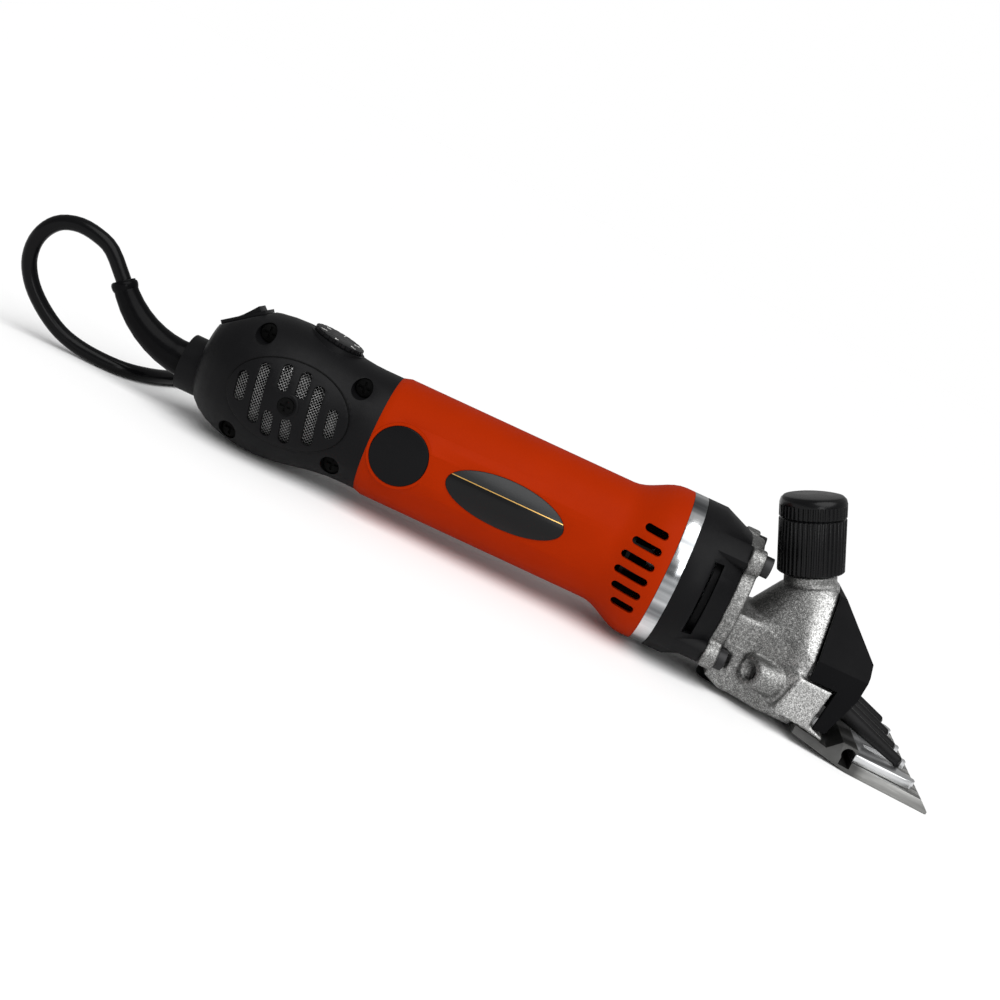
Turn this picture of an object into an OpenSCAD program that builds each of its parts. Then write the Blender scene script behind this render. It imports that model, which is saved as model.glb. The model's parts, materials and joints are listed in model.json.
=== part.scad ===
// Electric sheep shears: motor handle, gear case, cast head, comb and cutter, with cord and plug.
// Stations run along the tool's axis from the rear face of the bearing plate, forward positive.

/* [Rear housing] */
// Largest radius of the rear housing
belly_r = 28.5; // [27:0.1:30]
// Radius of the rear housing at its tail end
tail_r = 13; // [11:0.1:15]
// Radius of the rear housing where it meets the motor housing
joint_r = 24.2; // [23:0.1:25]
// Station of the tail end
tail_x = -198.5; // [-204:0.5:-194]
// Station of the largest radius
belly_x = -166.5; // [-170:0.5:-162]
// Station where the rear housing becomes straight
waist_x = -131.5; // [-136:0.5:-128]
// Wall of the rear housing
rear_wall = 2.6; // [2:0.1:3.2]
// Radius of the cord boss
boss_r = 11.5; // [10:0.1:12.5]
// Drop of the cord boss below the axis
boss_drop = 6.3; // [4:0.1:8]
// Length of the cord boss behind the tail
boss_len = 8; // [5:0.5:12]
// Radius of the screw recesses
recess_r = 4; // [3.6:0.1:4.4]

/* [Filter covers] */
// Station of the oval filter covers
filter_x = -157.3; // [-160:0.1:-155]
// Half length of a filter cover
filter_a = 24.5; // [22:0.1:26]
// Half height of a filter cover
filter_b = 17; // [15:0.1:19]
// How far a cover stands proud of the housing
filter_proud = 0.8; // [0.4:0.1:1.2]
// Width of a slot in a cover
slot_w = 4.4; // [3.5:0.1:5]

/* [Controls] */
// Slope of the switch face against the axis
switch_slope = 36; // [33:1:42]
// Station of the middle of the switch face
switch_x = -190; // [-192:0.25:-189]
// Height of the middle of the switch face
switch_z = 20; // [19:0.25:20.75]
// Length of the switch bezel
bezel_l = 18.5; // [17.5:0.1:20]
// Width of the switch bezel
bezel_w = 13.5; // [12.5:0.1:15]
// Swing of the rocker from off to on
rocker_swing = 22; // [16:1:24]
// Station of the speed dial
dial_x = -153.2; // [-155:0.1:-151]
// Radius of the speed dial
dial_r = 10.7; // [9:0.1:11.5]
// Thickness of the speed dial
dial_t = 1.8; // [1.4:0.1:2.4]
// Slope of the speed dial, nose down
dial_slope = 8; // [5:0.5:11]

/* [Motor housing] */
// Station where the two housings meet
joint_x = -123.5; // [-126:0.5:-121]
// Radius of the grip
grip_r = 25.2; // [24.8:0.1:26.5]
// Wall of the motor housing
motor_wall = 2.4; // [2:0.1:3]
// Radius of the front collar, plate and gear case
collar_r = 31.8; // [31.6:0.1:34]
// Station where the flare starts
flare_x = -23.5; // [-27:0.5:-20]
// Length of the flare
flare_len = 20; // [16:0.5:22]
// Station of the brushes
brush_x = -110.5; // [-111:0.1:-109]
// Radius of a brush cap
cap_r = 11.7; // [10.5:0.1:12]
// Station of the label's middle
label_x = -65.7; // [-70:0.1:-60]
// Half length of the label
label_a = 24.5; // [20:0.1:28]
// Half height of the label
label_b = 9.6; // [8:0.1:11]
// Height pitch of the air slots
vent_pitch = 6.3; // [6:0.1:6.6]
// Width of an air slot
vent_w = 3.3; // [2.8:0.1:3.8]

/* [Motor] */
// Radius of the armature shaft
shaft_r = 4; // [3.6:0.1:4.4]
// Radius of the armature core
core_r = 13.2; // [12:0.1:14]
// Air gap between armature and stator
air_gap = 0.6; // [0.4:0.1:1]
// Station of the rear face of the stator
stator_x = -78; // [-80:0.5:-76]
// Length of the stator
stator_len = 42; // [38:0.5:44]
// Radius of the commutator
commutator_r = 11; // [10:0.1:12]
// Radius of the cooling fan
fan_r = 24; // [22:0.1:24.4]
// Blades on the cooling fan
fan_blades = 15; // [9:1:19]

/* [Gears] */
// Gear module
gear_m = 0.9; // [0.85:0.01:0.92]
// Teeth of the pinion
pinion_teeth = 7; // [7:1:8]
// Teeth of the crank gear
crank_teeth = 28; // [24:1:28]
// Throw of the crank pin
crank_throw = 4.5; // [3.5:0.1:4.8]
// Radius of the crank shaft
crank_r = 5; // [4.5:0.1:5.5]
// Outer radius of a crank bearing
crank_bearing_r = 9.5; // [9:0.1:9.8]

/* [Gear case and head] */
// Width of the bearing plate
plate_len = 6; // [5:0.1:7]
// Length of the gear case
case_len = 21; // [20:0.5:24]
// Thickness of the head's flange
flange_len = 6; // [5:0.5:8]
// Radius of the circle that the flange bolts stand on
bolt_circle_r = 28.5; // [28:0.1:28.8]
// Radius of a flange bolt
bolt_r = 2.45; // [2:0.05:2.5]
// Half width of the head's body
head_half_w = 24; // [22:0.5:25]
// Half width of the comb bed and nose cover
bed_half_w = 31; // [30:0.5:33]

/* [Tension knob] */
// Lean of the knob, to the rear
knob_lean = 24; // [20:0.5:26]
// Station of the knob's foot
knob_x = 54.1; // [53:0.1:56]
// Height of the knob's foot over the axis
knob_z = 22.8; // [22:0.1:24]
// Radius of the knob
knob_r = 13.2; // [12:0.05:14]
// Height of the knob
knob_h = 30.5; // [27:0.5:34]
// Ribs round the knob
knob_ribs = 44; // [24:1:50]
// Thread pitch of the knob
knob_pitch = 1.25; // [1:0.05:1.5]

/* [Comb, cutter and fork] */
// Width of the comb at the tips
comb_w = 76; // [74:0.5:80]
// Teeth of the comb
comb_teeth = 13; // [9:1:15]
// Station of the comb's tips
comb_tip_x = 127.5; // [122:0.5:130]
// Station of the bend between heel and sole
comb_bend_x = 94.5; // [93:0.5:96]
// Station of the rear edge of the heel
comb_heel_x = 70.5; // [70:0.5:73]
// Slope of the heel
heel_slope = 8; // [6:0.5:9]
// Thickness of the comb
comb_t = 3.4; // [3:0.1:3.8]
// Thickness of the cutter
cutter_t = 3.4; // [3:0.1:4]
// Swing of the fork to each side
fork_swing = 8; // [5:0.5:8]

/* [Stance] */
// Nose-up tilt of the axis when the tool stands on comb and rear housing
tilt = 1.6; // [1.2:0.05:2]

/* [Cord] */
// Diameter of the cord
cord_d = 6.3; // [6:0.1:6.4]
// Loops in each layer of the hank
hank_loops = 3; // [2:1:3]
// Inner fold radius of the hank
hank_fold_r = 20; // [19:0.5:22]
// Length of a run of the hank
hank_run = 108; // [96:1:120]
// How far the tie draws in each side of the hank
hank_waist = 7; // [4:0.5:9]
// Distance between neighbouring cords in the hank
hank_pitch = 7; // [6.9:0.05:7.2]
// Width of a plug
plug_w = 37; // [35:0.5:39]
// Height of a plug
plug_h = 25; // [22:0.5:27]
// Length of a plug's body
plug_l = 34; // [30:0.5:40]
// Diameter of a plug pin
pin_d = 4.8; // [4.6:0.1:5]
// Length of a plug pin
pin_l = 19; // [18:0.5:20]
// Distance between the plug pins
pin_gap = 19; // [18:0.1:20]

/* [Hidden] */
$fn = 64;
fit = 0.05;
clear = 0.15;
steps = 8;

plate_x = plate_len;
case_x = plate_x + case_len;
flange_x = case_x + flange_len;
boss_x = tail_x - boss_len;
boss_z = -boss_drop;
// Height of the axis at station 0, with the belly on the floor
axis_h = belly_r - belly_x * sin(tilt) + 0.02;
rear_reach = boss_x * cos(tilt) - (boss_z + boss_r) * sin(tilt);
centre_x = (rear_reach + comb_tip_x) / 2;

// Where a point of the tool's axis frame comes to stand on the floor
function floor_x(x, z) = x * cos(tilt) - z * sin(tilt);
function floor_z(x, z) = x * sin(tilt) + z * cos(tilt) + axis_h;

// The tension pin's lower end is the fork's pivot
pin_reach = 38;
pin_tip_r = 3;
pivot_tool = [knob_x + pin_reach * sin(knob_lean), knob_z - pin_reach * cos(knob_lean)];
pivot_x = floor_x(pivot_tool[0], pivot_tool[1]);
pivot_z = floor_z(pivot_tool[0], pivot_tool[1]);

// Gear centres
pinion_r = gear_m * pinion_teeth / 2;
crank_gear_r = gear_m * crank_teeth / 2;
backlash = 0.2;
crank_z = -(pinion_r + crank_gear_r + backlash);
gear_x0 = plate_x + 2.5;
gear_len = 7;
gear_x1 = gear_x0 + gear_len;
case_wall_x = gear_x1 + 1.5;
case_wall_len = 6;
bearing_len = 5;
disc_x = flange_x + 1;
disc_len = 3.5;
crank_pin_x = disc_x + disc_len;
crank_pin_len = 6.5;
roller_r = 4;
bolt_yz = bolt_circle_r / sqrt(2);
bolt_places = [for (y = [-1, 1], z = [-1, 1]) [y * bolt_yz, z * bolt_yz]];

// Comb and fork heights over the floor
sole_t = comb_t + 0.9;
cutter_z = sole_t + fit;
cutter_top = cutter_z + cutter_t;
function heel_z(x) = (comb_bend_x - x) * tan(heel_slope);
function bed_z(x) = heel_z(x) + comb_t;
prong_root_x = 84;
prong_root_z = 18.5;
prong_tip_x = 113;
prong_root_r = 3.4;
prong_tip_r = 2.1;
prong_tip_z = cutter_top + prong_tip_r + 0.3;
prong_spread = 16.3;

// Rear housing: screw places and the outline
housing_screws_xz = [[-177, 20.5], [-177, -20.5], [-134.5, 16.5], [-134.5, -16.5]];
screw_seat_y = 10;
screw_head_r = recess_r - 0.5;

function rear_outline(inset) = concat(
    [[0, tail_x + inset]],
    [for (i = [0:steps]) let (a = 90 * i / steps)
        [tail_r + (belly_r - tail_r) * sin(a) - inset, belly_x - (belly_x - tail_x - inset) * cos(a)]],
    [for (i = [1:steps])
        [joint_r + (belly_r - joint_r) * (1 + cos(180 * i / steps)) / 2 - inset,
         belly_x + (waist_x - belly_x) * i / steps]],
    [[joint_r - inset, joint_x], [0, joint_x]]);

edge_round = 3;
edge_drop = 0.9;
function motor_outline(inset) = concat(
    [[0, joint_x], [grip_r - edge_drop - inset, joint_x], [grip_r - inset, joint_x + edge_round]],
    [for (i = [0:steps])
        [grip_r + (collar_r - grip_r) * (1 - cos(180 * i / steps)) / 2 - inset,
         flare_x + flare_len * i / steps]],
    [[collar_r - inset, 0], [0, 0]]);

// Basic shapes along the tool's axes
module turned(points) rotate([0, 90, 0]) rotate_extrude() polygon(points);
module rod(x0, x1, r, y = 0, z = 0) translate([x0, y, z]) rotate([0, 90, 0]) cylinder(h = x1 - x0, r = r);
module cross_rod(y0, y1, r, x, z) translate([x, y0, z]) rotate([-90, 0, 0]) cylinder(h = y1 - y0, r = r);
module tube_x(x0, x1, r, bore) difference() {
    rod(x0, x1, r);
    rod(x0 - 1, x1 + 1, bore);
}
module both_sides() for (side = [0, 1]) mirror([0, side, 0]) children();
// Prism across the tool from a side view outline of [station, height] points
module side_prism(points, half_w) rotate([90, 0, 0]) linear_extrude(2 * half_w, center = true) polygon(points);
module oval(a, b) polygon([for (i = [0:47]) [a * cos(i * 7.5), b * sin(i * 7.5)]]);
// Oval prism that stands out on the right hand side, at a station
module oval_prism(x, a, b) translate([x, -8, 0]) rotate([90, 0, 0]) linear_extrude(40) oval(a, b);
module stadium(length, width) union() {
    square([length - width, width], center = true);
    for (end = [-1, 1]) translate([end * (length - width) / 2, 0]) circle(d = width);
}

// Frames: the tool's axis, the floor, the switch face, the dial and the knob
module on_axis() translate([-centre_x, 0, axis_h]) rotate([0, -tilt, 0]) children();
module on_floor() translate([-centre_x, 0, 0]) children();
module switch_frame() translate([switch_x, 0, switch_z]) rotate([0, -switch_slope, 0]) children();
module dial_frame() translate([dial_x, 0, belly_r - 1.8]) rotate([0, dial_slope, 0]) children();
module knob_frame() translate([knob_x, 0, knob_z]) rotate([0, -knob_lean, 0]) children();

// Rear housing
module rear_solid(inset) difference() {
    turned(rear_outline(inset));
    switch_frame() translate([-40, -40, -inset]) cube([80, 80, 40]);
}

filter_lip = 3;
filter_seat = 1.4;
bar_w = 8;
module filter_bar() translate([filter_x - bar_w / 2, -belly_r, -filter_b]) cube([bar_w, 8, 2 * filter_b]);
filter_bore_r = 1.6;

module filter_opening() {
    difference() {
        oval_prism(filter_x, filter_a, filter_b);
        rear_solid(filter_seat);
    }
    difference() {
        oval_prism(filter_x, filter_a - filter_lip, filter_b - filter_lip);
        filter_bar();
    }
    cross_rod(-40, -8, filter_bore_r, filter_x, 0);
}

switch_body_l = bezel_l - 1.6;
switch_body_w = bezel_w - 1.5;
dial_stem_r = 3;
dial_boss_h = 7;
boot_root_r = 6.4;

module rear_shell() difference() {
    union() {
        rear_solid(0);
        rod(boss_x, tail_x + 12, boss_r, z = boss_z);
        dial_frame() translate([0, 0, -4]) cylinder(h = 8, r = dial_r + 1.2);
    }
    difference() {
        rear_solid(rear_wall);
        for (p = housing_screws_xz) cross_rod(-40, 40, recess_r + 1.2, p[0], p[1]);
        dial_frame() translate([-14, -13, -dial_boss_h]) cube([28, 26, 20]);
    }
    rod(boss_x - 1, tail_x + 14, boot_root_r + clear, z = boss_z);
    both_sides() filter_opening();
    for (p = housing_screws_xz) {
        cross_rod(-40, -screw_seat_y, recess_r, p[0], p[1]);
        cross_rod(-screw_seat_y - 1, 12, 1.8, p[0], p[1]);
    }
    switch_frame() translate([-switch_body_l / 2 - clear, -switch_body_w / 2 - clear, -20])
        cube([switch_body_l + 2 * clear, switch_body_w + 2 * clear, 30]);
    dial_frame() {
        translate([0, 0, -dial_boss_h - 1]) cylinder(h = dial_boss_h + 2, r = dial_stem_r + fit);
        translate([-15, -20, 0]) cube([30, 40, 20]);
    }
}

module rear_housing_right() color("#2b2b2d") on_axis() intersection() {
    rear_shell();
    translate([-300, -60, -60]) cube([300, 60, 120]);
}
module rear_housing_left() color("#2b2b2d") on_axis() intersection() {
    rear_shell();
    translate([-300, 0, -60]) cube([300, 60, 120]);
}

module housing_screws() color("#1c1c1e") on_axis() for (p = housing_screws_xz) difference() {
    union() {
        cross_rod(-screw_seat_y - 2.5, -screw_seat_y, screw_head_r, p[0], p[1]);
        cross_rod(-screw_seat_y, 10, 1.75, p[0], p[1]);
    }
    translate([p[0], -screw_seat_y - 2.5, p[1]]) cube([5, 2.4, 1], center = true);
    translate([p[0], -screw_seat_y - 2.5, p[1]]) cube([1, 2.4, 5], center = true);
}

// Slots of a filter cover: [station offset, height, length]
filter_slots = [[-19, 0, 12], [-11.8, 0, 24], [-4.6, 9.6, 10.5], [-4.6, -9.6, 10.5],
                [2.8, 9.6, 10.5], [2.8, -9.6, 10.5], [10.4, 0, 24], [18, 0, 12]];
slot_slant = 8;
filter_head_r = 3.2;
filter_head_y = belly_r - 0.6;

module filter_cover() difference() {
    intersection() {
        oval_prism(filter_x, filter_a - clear, filter_b - clear);
        difference() {
            rear_solid(-filter_proud);
            rear_solid(filter_seat - clear);
        }
    }
    translate([filter_x, -8, 0]) rotate([90, 0, 0]) linear_extrude(40)
        for (s = filter_slots) translate([s[0], s[1]]) rotate(90 + slot_slant) stadium(s[2], slot_w);
    cross_rod(-40, -8, filter_bore_r + fit, filter_x, 0);
    cross_rod(-40, -filter_head_y, filter_head_r + clear, filter_x, 0);
}
module filter_cover_right() color("#303032") on_axis() filter_cover();
module filter_cover_left() color("#303032") on_axis() mirror([0, 1, 0]) filter_cover();

module filter_gauzes() color("#9a9a98") on_axis() both_sides() difference() {
    intersection() {
        oval_prism(filter_x, filter_a - filter_lip - clear, filter_b - filter_lip - clear);
        difference() {
            rear_solid(filter_seat);
            rear_solid(filter_seat + 0.5);
        }
    }
    translate([filter_x - bar_w / 2 - clear, -40, -filter_b]) cube([bar_w + 2 * clear, 40, 2 * filter_b]);
}

module filter_screws() color("#48484a") on_axis() both_sides() difference() {
    union() {
        cross_rod(-filter_head_y - 1.2, -filter_head_y, filter_head_r, filter_x, 0);
        cross_rod(-filter_head_y, -22, filter_bore_r, filter_x, 0);
    }
    translate([filter_x, -filter_head_y - 1.2, 0]) cube([4.4, 1.4, 0.9], center = true);
    translate([filter_x, -filter_head_y - 1.2, 0]) cube([0.9, 1.4, 4.4], center = true);
}

// Rocker switch, with the rocker's pivot across the tool
rocker_l = bezel_l - 4.2;
rocker_w = bezel_w - 4;
rocker_pivot_z = 0.6;
rocker_pin_r = 1.2;
bezel_t = 1.6;
switch_depth = 13;
pocket_depth = 4.6;
// Corner circle of the rocker sets the pocket's length
pocket_l = 2 * sqrt(pow(rocker_l / 2, 2) + pow(3, 2)) + 0.4;

module switch_body() color("#1f1f21") on_axis() switch_frame() difference() {
    union() {
        translate([-bezel_l / 2, -bezel_w / 2, 0]) cube([bezel_l, bezel_w, bezel_t]);
        translate([-switch_body_l / 2, -switch_body_w / 2, -switch_depth])
            cube([switch_body_l, switch_body_w, switch_depth]);
    }
    translate([-pocket_l / 2, -rocker_w / 2 - clear, bezel_t - pocket_depth - 1.6])
        cube([pocket_l, rocker_w + 2 * clear, pocket_depth + 10]);
    cross_rod(-rocker_w / 2 - 1.2, rocker_w / 2 + 1.2, rocker_pin_r + fit, 0, rocker_pivot_z);
}

module switch_rocker() color("#262628") on_axis() switch_frame() translate([0, 0, rocker_pivot_z])
    rotate([0, -rocker_swing / 2, 0]) {
        side_prism([[-rocker_l / 2, -2], [rocker_l / 2, -2], [rocker_l / 2, 1.8], [rocker_l / 4, 1.5],
                    [0, 1.35], [-rocker_l / 4, 1.5], [-rocker_l / 2, 1.8]], rocker_w / 2);
        cross_rod(-rocker_w / 2 - 1, rocker_w / 2 + 1, rocker_pin_r, 0, 0);
    }

// Speed dial and its board
dial_stem_l = dial_boss_h + 3;
board_z = -dial_stem_l - 1;
module speed_dial() color("#232325") on_axis() dial_frame() {
    difference() {
        translate([0, 0, fit]) cylinder(h = dial_t, r = dial_r);
        for (i = [0:23]) rotate(i * 15) translate([dial_r + 0.3, 0, -1]) cylinder(h = dial_t + 3, r = 0.7);
    }
    translate([0, 0, -dial_stem_l]) cylinder(h = dial_stem_l + dial_t / 2, r = dial_stem_r);
}
module speed_board() color("#2f6b3c") on_axis() dial_frame() {
    translate([-12, -10, board_z - 1.6]) cube([24, 20, 1.6]);
    difference() {
        translate([-6, -6, board_z]) cube([12, 12, 3]);
        translate([0, 0, board_z + 0.9]) cylinder(h = 10, r = dial_stem_r + fit);
    }
    // Posts that carry the board from the dial's boss
    for (x = [-8.5, 8.5]) translate([x, 0, board_z]) cylinder(h = -dial_boss_h - board_z, r = 2);
}

// Bent rubber boot and the clamp behind it
boot_bend = 56;
boot_len = 42;
boot_root = 15;
boot_bend_r = boot_len * 180 / (PI * boot_bend);
boot_points = [for (i = [0:8]) let (a = i * boot_bend / 8)
    [boss_x - boot_bend_r * sin(a), 0, boss_z + boot_bend_r * (1 - cos(a))]];
function boot_r(i) = 7.4 - 2.8 * i / 8;

// Tube of triangles along points, whose cross direction starts from a side vector
function unit(v) = v / norm(v);
function tangent(p, i) = unit(p[min(i + 1, len(p) - 1)] - p[max(i - 1, 0)]);
function ring(p, i, r, sides, side) =
    let (t = tangent(p, i), n = unit(side - t * (side * t)), b = cross(t, n))
    [for (k = [0:sides - 1]) let (a = 360 * k / sides) p[i] + r * (n * cos(a) + b * sin(a))];
module swept(p, radii, sides, side) {
    n = len(p);
    polyhedron(
        [for (i = [0:n - 1]) each ring(p, i, radii[i], sides, side)],
        concat(
            [for (i = [0:n - 2], k = [0:sides - 1])
                each let (a = i * sides + k, b = i * sides + (k + 1) % sides)
                [[a, b + sides, b], [a, a + sides, b + sides]]],
            [for (k = [1:sides - 2]) [0, k, k + 1]],
            [for (k = [1:sides - 2]) let (e = (n - 1) * sides) [e, e + k + 1, e + k]]));
}

module cord_boot() color("#1d1d1f") on_axis() {
    swept(boot_points, [for (i = [0:8]) boot_r(i)], 24, [0, 1, 0]);
    rod(boss_x, boss_x + boot_root, boot_root_r, z = boss_z);
}
module cord_clamp() color("#3a3a3c") on_axis()
    translate([boss_x + boot_root + 0.1, -9, boss_z - 6]) cube([6, 18, 12]);

// Motor housing
module motor_solid(inset) turned(motor_outline(inset));
brush_boss_y = 15.5;
cap_t = 2.3;
cap_y = grip_r - cap_t - 0.3;
holder_w = 9;
holder_h = 11;
rear_bearing_r = 9.5;
web_len = 5;
label_depth = 0.4;
label_t = 0.7;
// Lengths of the air slots, from the middle outwards
vent_lengths = [13.7, 12, 9.5];
vent_front = -4.3;

module label_prism(grow) oval_prism(label_x, label_a + grow, label_b + grow);

module motor_housing() color("#c8421c") on_axis() difference() {
    union() {
        difference() {
            motor_solid(0);
            motor_solid(motor_wall);
        }
        difference() {
            rod(joint_x, joint_x + web_len, grip_r - 2);
            for (i = [0:5]) rotate([i * 60 + 30, 0, 0]) rod(joint_x - 1, joint_x + web_len + 1, 3.6, z = 16);
        }
        both_sides() cross_rod(-grip_r + 0.7, -brush_boss_y, cap_r + 1.2, brush_x, 0);
    }
    rod(joint_x - 1, joint_x + web_len + 1, rear_bearing_r);
    both_sides() {
        cross_rod(-40, -cap_y, cap_r + clear, brush_x, 0);
        translate([brush_x - holder_w / 2 - fit, -40, -holder_h / 2 - fit])
            cube([holder_w + 2 * fit, 30, holder_h + 2 * fit]);
        for (row = [0:2], up = [-1, 1])
            translate([vent_front - vent_lengths[row] / 2, 0, up * vent_pitch * (row + 0.5)])
                rotate([90, 0, 0]) linear_extrude(40) stadium(vent_lengths[row], vent_w);
    }
    difference() {
        label_prism(clear);
        motor_solid(label_depth);
    }
}

module label_plate() color("#141414") on_axis() intersection() {
    label_prism(0);
    difference() {
        motor_solid(label_depth - label_t);
        motor_solid(label_depth);
    }
}

module brush_caps() color("#2a2a2c") on_axis() both_sides()
    cross_rod(-cap_y - cap_t, -cap_y, cap_r, brush_x, 0);
module brush_holders() color("#b08d3c") on_axis() both_sides() difference() {
    translate([brush_x - holder_w / 2, -cap_y, -holder_h / 2]) cube([holder_w, cap_y - 12.5, holder_h]);
    translate([brush_x - holder_w / 2 + 1, -cap_y - 1, -holder_h / 2 + 1]) cube([holder_w - 2, 30, holder_h - 2]);
}
brush_len = 7;
brush_y = commutator_r + 0.1;
module brushes() color("#3b3b3b") on_axis() both_sides()
    translate([brush_x - holder_w / 2 + 1.1, -brush_y - brush_len, -holder_h / 2 + 1.1])
        cube([holder_w - 2.2, brush_len, holder_h - 2.2]);
module brush_springs() color("#8a8a8a") on_axis() both_sides() difference() {
    cross_rod(-cap_y, -brush_y - brush_len, 2.8, brush_x, 0);
    cross_rod(-cap_y - 1, -brush_y, 2.1, brush_x, 0);
}

// Stator and armature
coil_len = 8;
stator_end = stator_x + stator_len;
stator_r = grip_r - motor_wall - clear;
module stator_core() color("#6d7074") on_axis() tube_x(stator_x, stator_end, stator_r, core_r + air_gap);
module field_coils() color("#a5582b") on_axis() {
    tube_x(stator_x - coil_len, stator_x, stator_r - 1.5, core_r + air_gap + 1);
    tube_x(stator_end, stator_end + coil_len, stator_r - 1.5, core_r + air_gap + 1);
}
shaft_rear = joint_x - 4;
module armature_shaft() color("#b9bcc0") on_axis() rod(shaft_rear, gear_x0 - 0.5, shaft_r);
module armature_core() color("#777a7e") on_axis() tube_x(stator_x, stator_end, core_r, shaft_r);
winding_len = 9;
module armature_windings() color("#b4632e") on_axis() {
    tube_x(stator_x - winding_len, stator_x, core_r - 1.4, shaft_r);
    tube_x(stator_end, stator_end + winding_len, core_r - 1.4, shaft_r);
}
commutator_len = 13;
module commutator() color("#c27a45") on_axis() difference() {
    tube_x(brush_x - commutator_len / 2, brush_x + commutator_len / 2, commutator_r, shaft_r);
    for (i = [0:11]) rotate([i * 30 + 15, 0, 0])
        translate([brush_x - commutator_len / 2 - 1, -0.3, commutator_r - 1]) cube([commutator_len + 2, 0.6, 3]);
}
fan_x = -16;
fan_len = 10;
fan_hub_r = 7;
module cooling_fan() color("#1b1b1d") on_axis() difference() {
    union() {
        rod(fan_x, fan_x + 1.5, fan_r);
        rod(fan_x, fan_x + fan_len, fan_hub_r);
        for (i = [0:fan_blades - 1]) rotate([i * 360 / fan_blades, 0, 0])
            translate([fan_x + 0.5, -0.8, fan_hub_r - 1]) cube([fan_len - 1, 1.6, fan_r - fan_hub_r + 0.4]);
    }
    rod(fan_x - 1, fan_x + fan_len + 1, shaft_r);
}
front_bearing_r = 11;
module motor_bearings() color("#c4c7ca") on_axis() {
    tube_x(joint_x, joint_x + web_len, rear_bearing_r, shaft_r + fit);
    tube_x(0, plate_x, front_bearing_r, shaft_r + fit);
}

// Gear pair, crank shaft and roller
function tooth_points(teeth, pitch_r, start) = [for (i = [0:teeth - 1])
    let (a = start + 360 * i / teeth, w = 360 / teeth)
    each [[pitch_r - gear_m * 1.05, a - w * 0.29], [pitch_r + gear_m * 0.75, a - w * 0.09],
          [pitch_r + gear_m * 0.75, a + w * 0.09], [pitch_r - gear_m * 1.05, a + w * 0.29]]];
module spur(teeth, pitch_r, start) polygon([for (p = tooth_points(teeth, pitch_r, start)) p[0] * [cos(p[1]), sin(p[1])]]);
// A plane figure whose first axis points down, carried along the tool's axis
module gear_prism(z) translate([gear_x0, 0, z]) rotate([0, 90, 0]) linear_extrude(gear_len) children();
module pinion() color("#8f9296") on_axis() {
    gear_prism(0) spur(pinion_teeth, pinion_r, 180 / pinion_teeth);
    rod(gear_x0 - 0.5, gear_x0, shaft_r - 1.5);
}
module crank_gear() color("#94979b") on_axis() difference() {
    gear_prism(crank_z) spur(crank_teeth, crank_gear_r, 180);
    rod(gear_x0 - 1, gear_x1 + 1, crank_r, z = crank_z);
}
module crank_shaft() color("#a9adb1") on_axis() {
    rod(gear_x0 - 1, disc_x, crank_r, z = crank_z);
    rod(disc_x, crank_pin_x, roller_r + crank_throw - 0.5, z = crank_z);
    rod(crank_pin_x, crank_pin_x + crank_pin_len, 2.5, z = crank_z + crank_throw);
}
module crank_roller() color("#cfd2d5") on_axis() translate([0, 0, crank_z + crank_throw])
    tube_x(crank_pin_x + 0.5, crank_pin_x + crank_pin_len - 0.5, roller_r, 2.5);
bearing_b_x = flange_x - bearing_len;
module crank_bearings() color("#c4c7ca") on_axis() translate([0, 0, crank_z]) {
    tube_x(case_wall_x, case_wall_x + bearing_len, crank_bearing_r, crank_r + fit);
    tube_x(bearing_b_x, flange_x, crank_bearing_r, crank_r + fit);
}

// Bearing plate and gear case
module bolt_rods(x0, x1, r) for (p = bolt_places) rod(x0, x1, r, y = p[0], z = p[1]);
bolt_clear = 0.15;
bolt_end = 1;
module bearing_plate() color("#d5d6d8") on_axis() difference() {
    rod(0, plate_x, collar_r);
    rod(-1, plate_x + 1, front_bearing_r);
    bolt_rods(bolt_end - 0.2, plate_x + 1, bolt_r);
}

column_r = 5.2;
case_front_r = 26.7;
case_cavity_r = collar_r - 2.5;
case_step_x = plate_x + 8.5;
groove_depth = 2.4;
module gear_case() color("#242426") on_axis() difference() {
    union() {
        turned([[0, plate_x], [collar_r, plate_x], [collar_r, case_step_x], [case_front_r, case_x], [0, case_x]]);
        intersection() {
            bolt_rods(case_step_x, case_x, column_r);
            rod(plate_x, case_x, collar_r);
        }
    }
    difference() {
        rod(plate_x - 1, case_wall_x, case_cavity_r);
        bolt_rods(plate_x - 2, case_x, column_r - 0.6);
    }
    rod(case_wall_x - 1, case_wall_x + bearing_len, crank_bearing_r, z = crank_z);
    rod(case_wall_x, case_x + 1, crank_bearing_r - 1.5, z = crank_z);
    rod(case_wall_x + case_wall_len, case_x + 1, case_front_r - 4.2);
    bolt_rods(plate_x - 1, case_x + 1, bolt_r + bolt_clear);
    both_sides() difference() {
        translate([case_step_x + 1, -40, -15]) cube([4, 40, 30]);
        rod(plate_x, case_x, case_front_r + 1.4 - groove_depth);
    }
}

bolt_head_r = 4.2;
bolt_head_len = 3.2;
module flange_bolts() color("#1d1d1f") on_axis() difference() {
    union() {
        bolt_rods(bolt_end, flange_x, bolt_r);
        bolt_rods(flange_x, flange_x + bolt_head_len, bolt_head_r);
    }
    for (p = bolt_places) translate([flange_x + bolt_head_len - 1.8, p[0], p[1]])
        rotate([0, 90, 0]) cylinder(h = 3, r = 2.2, $fn = 6);
}

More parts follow.
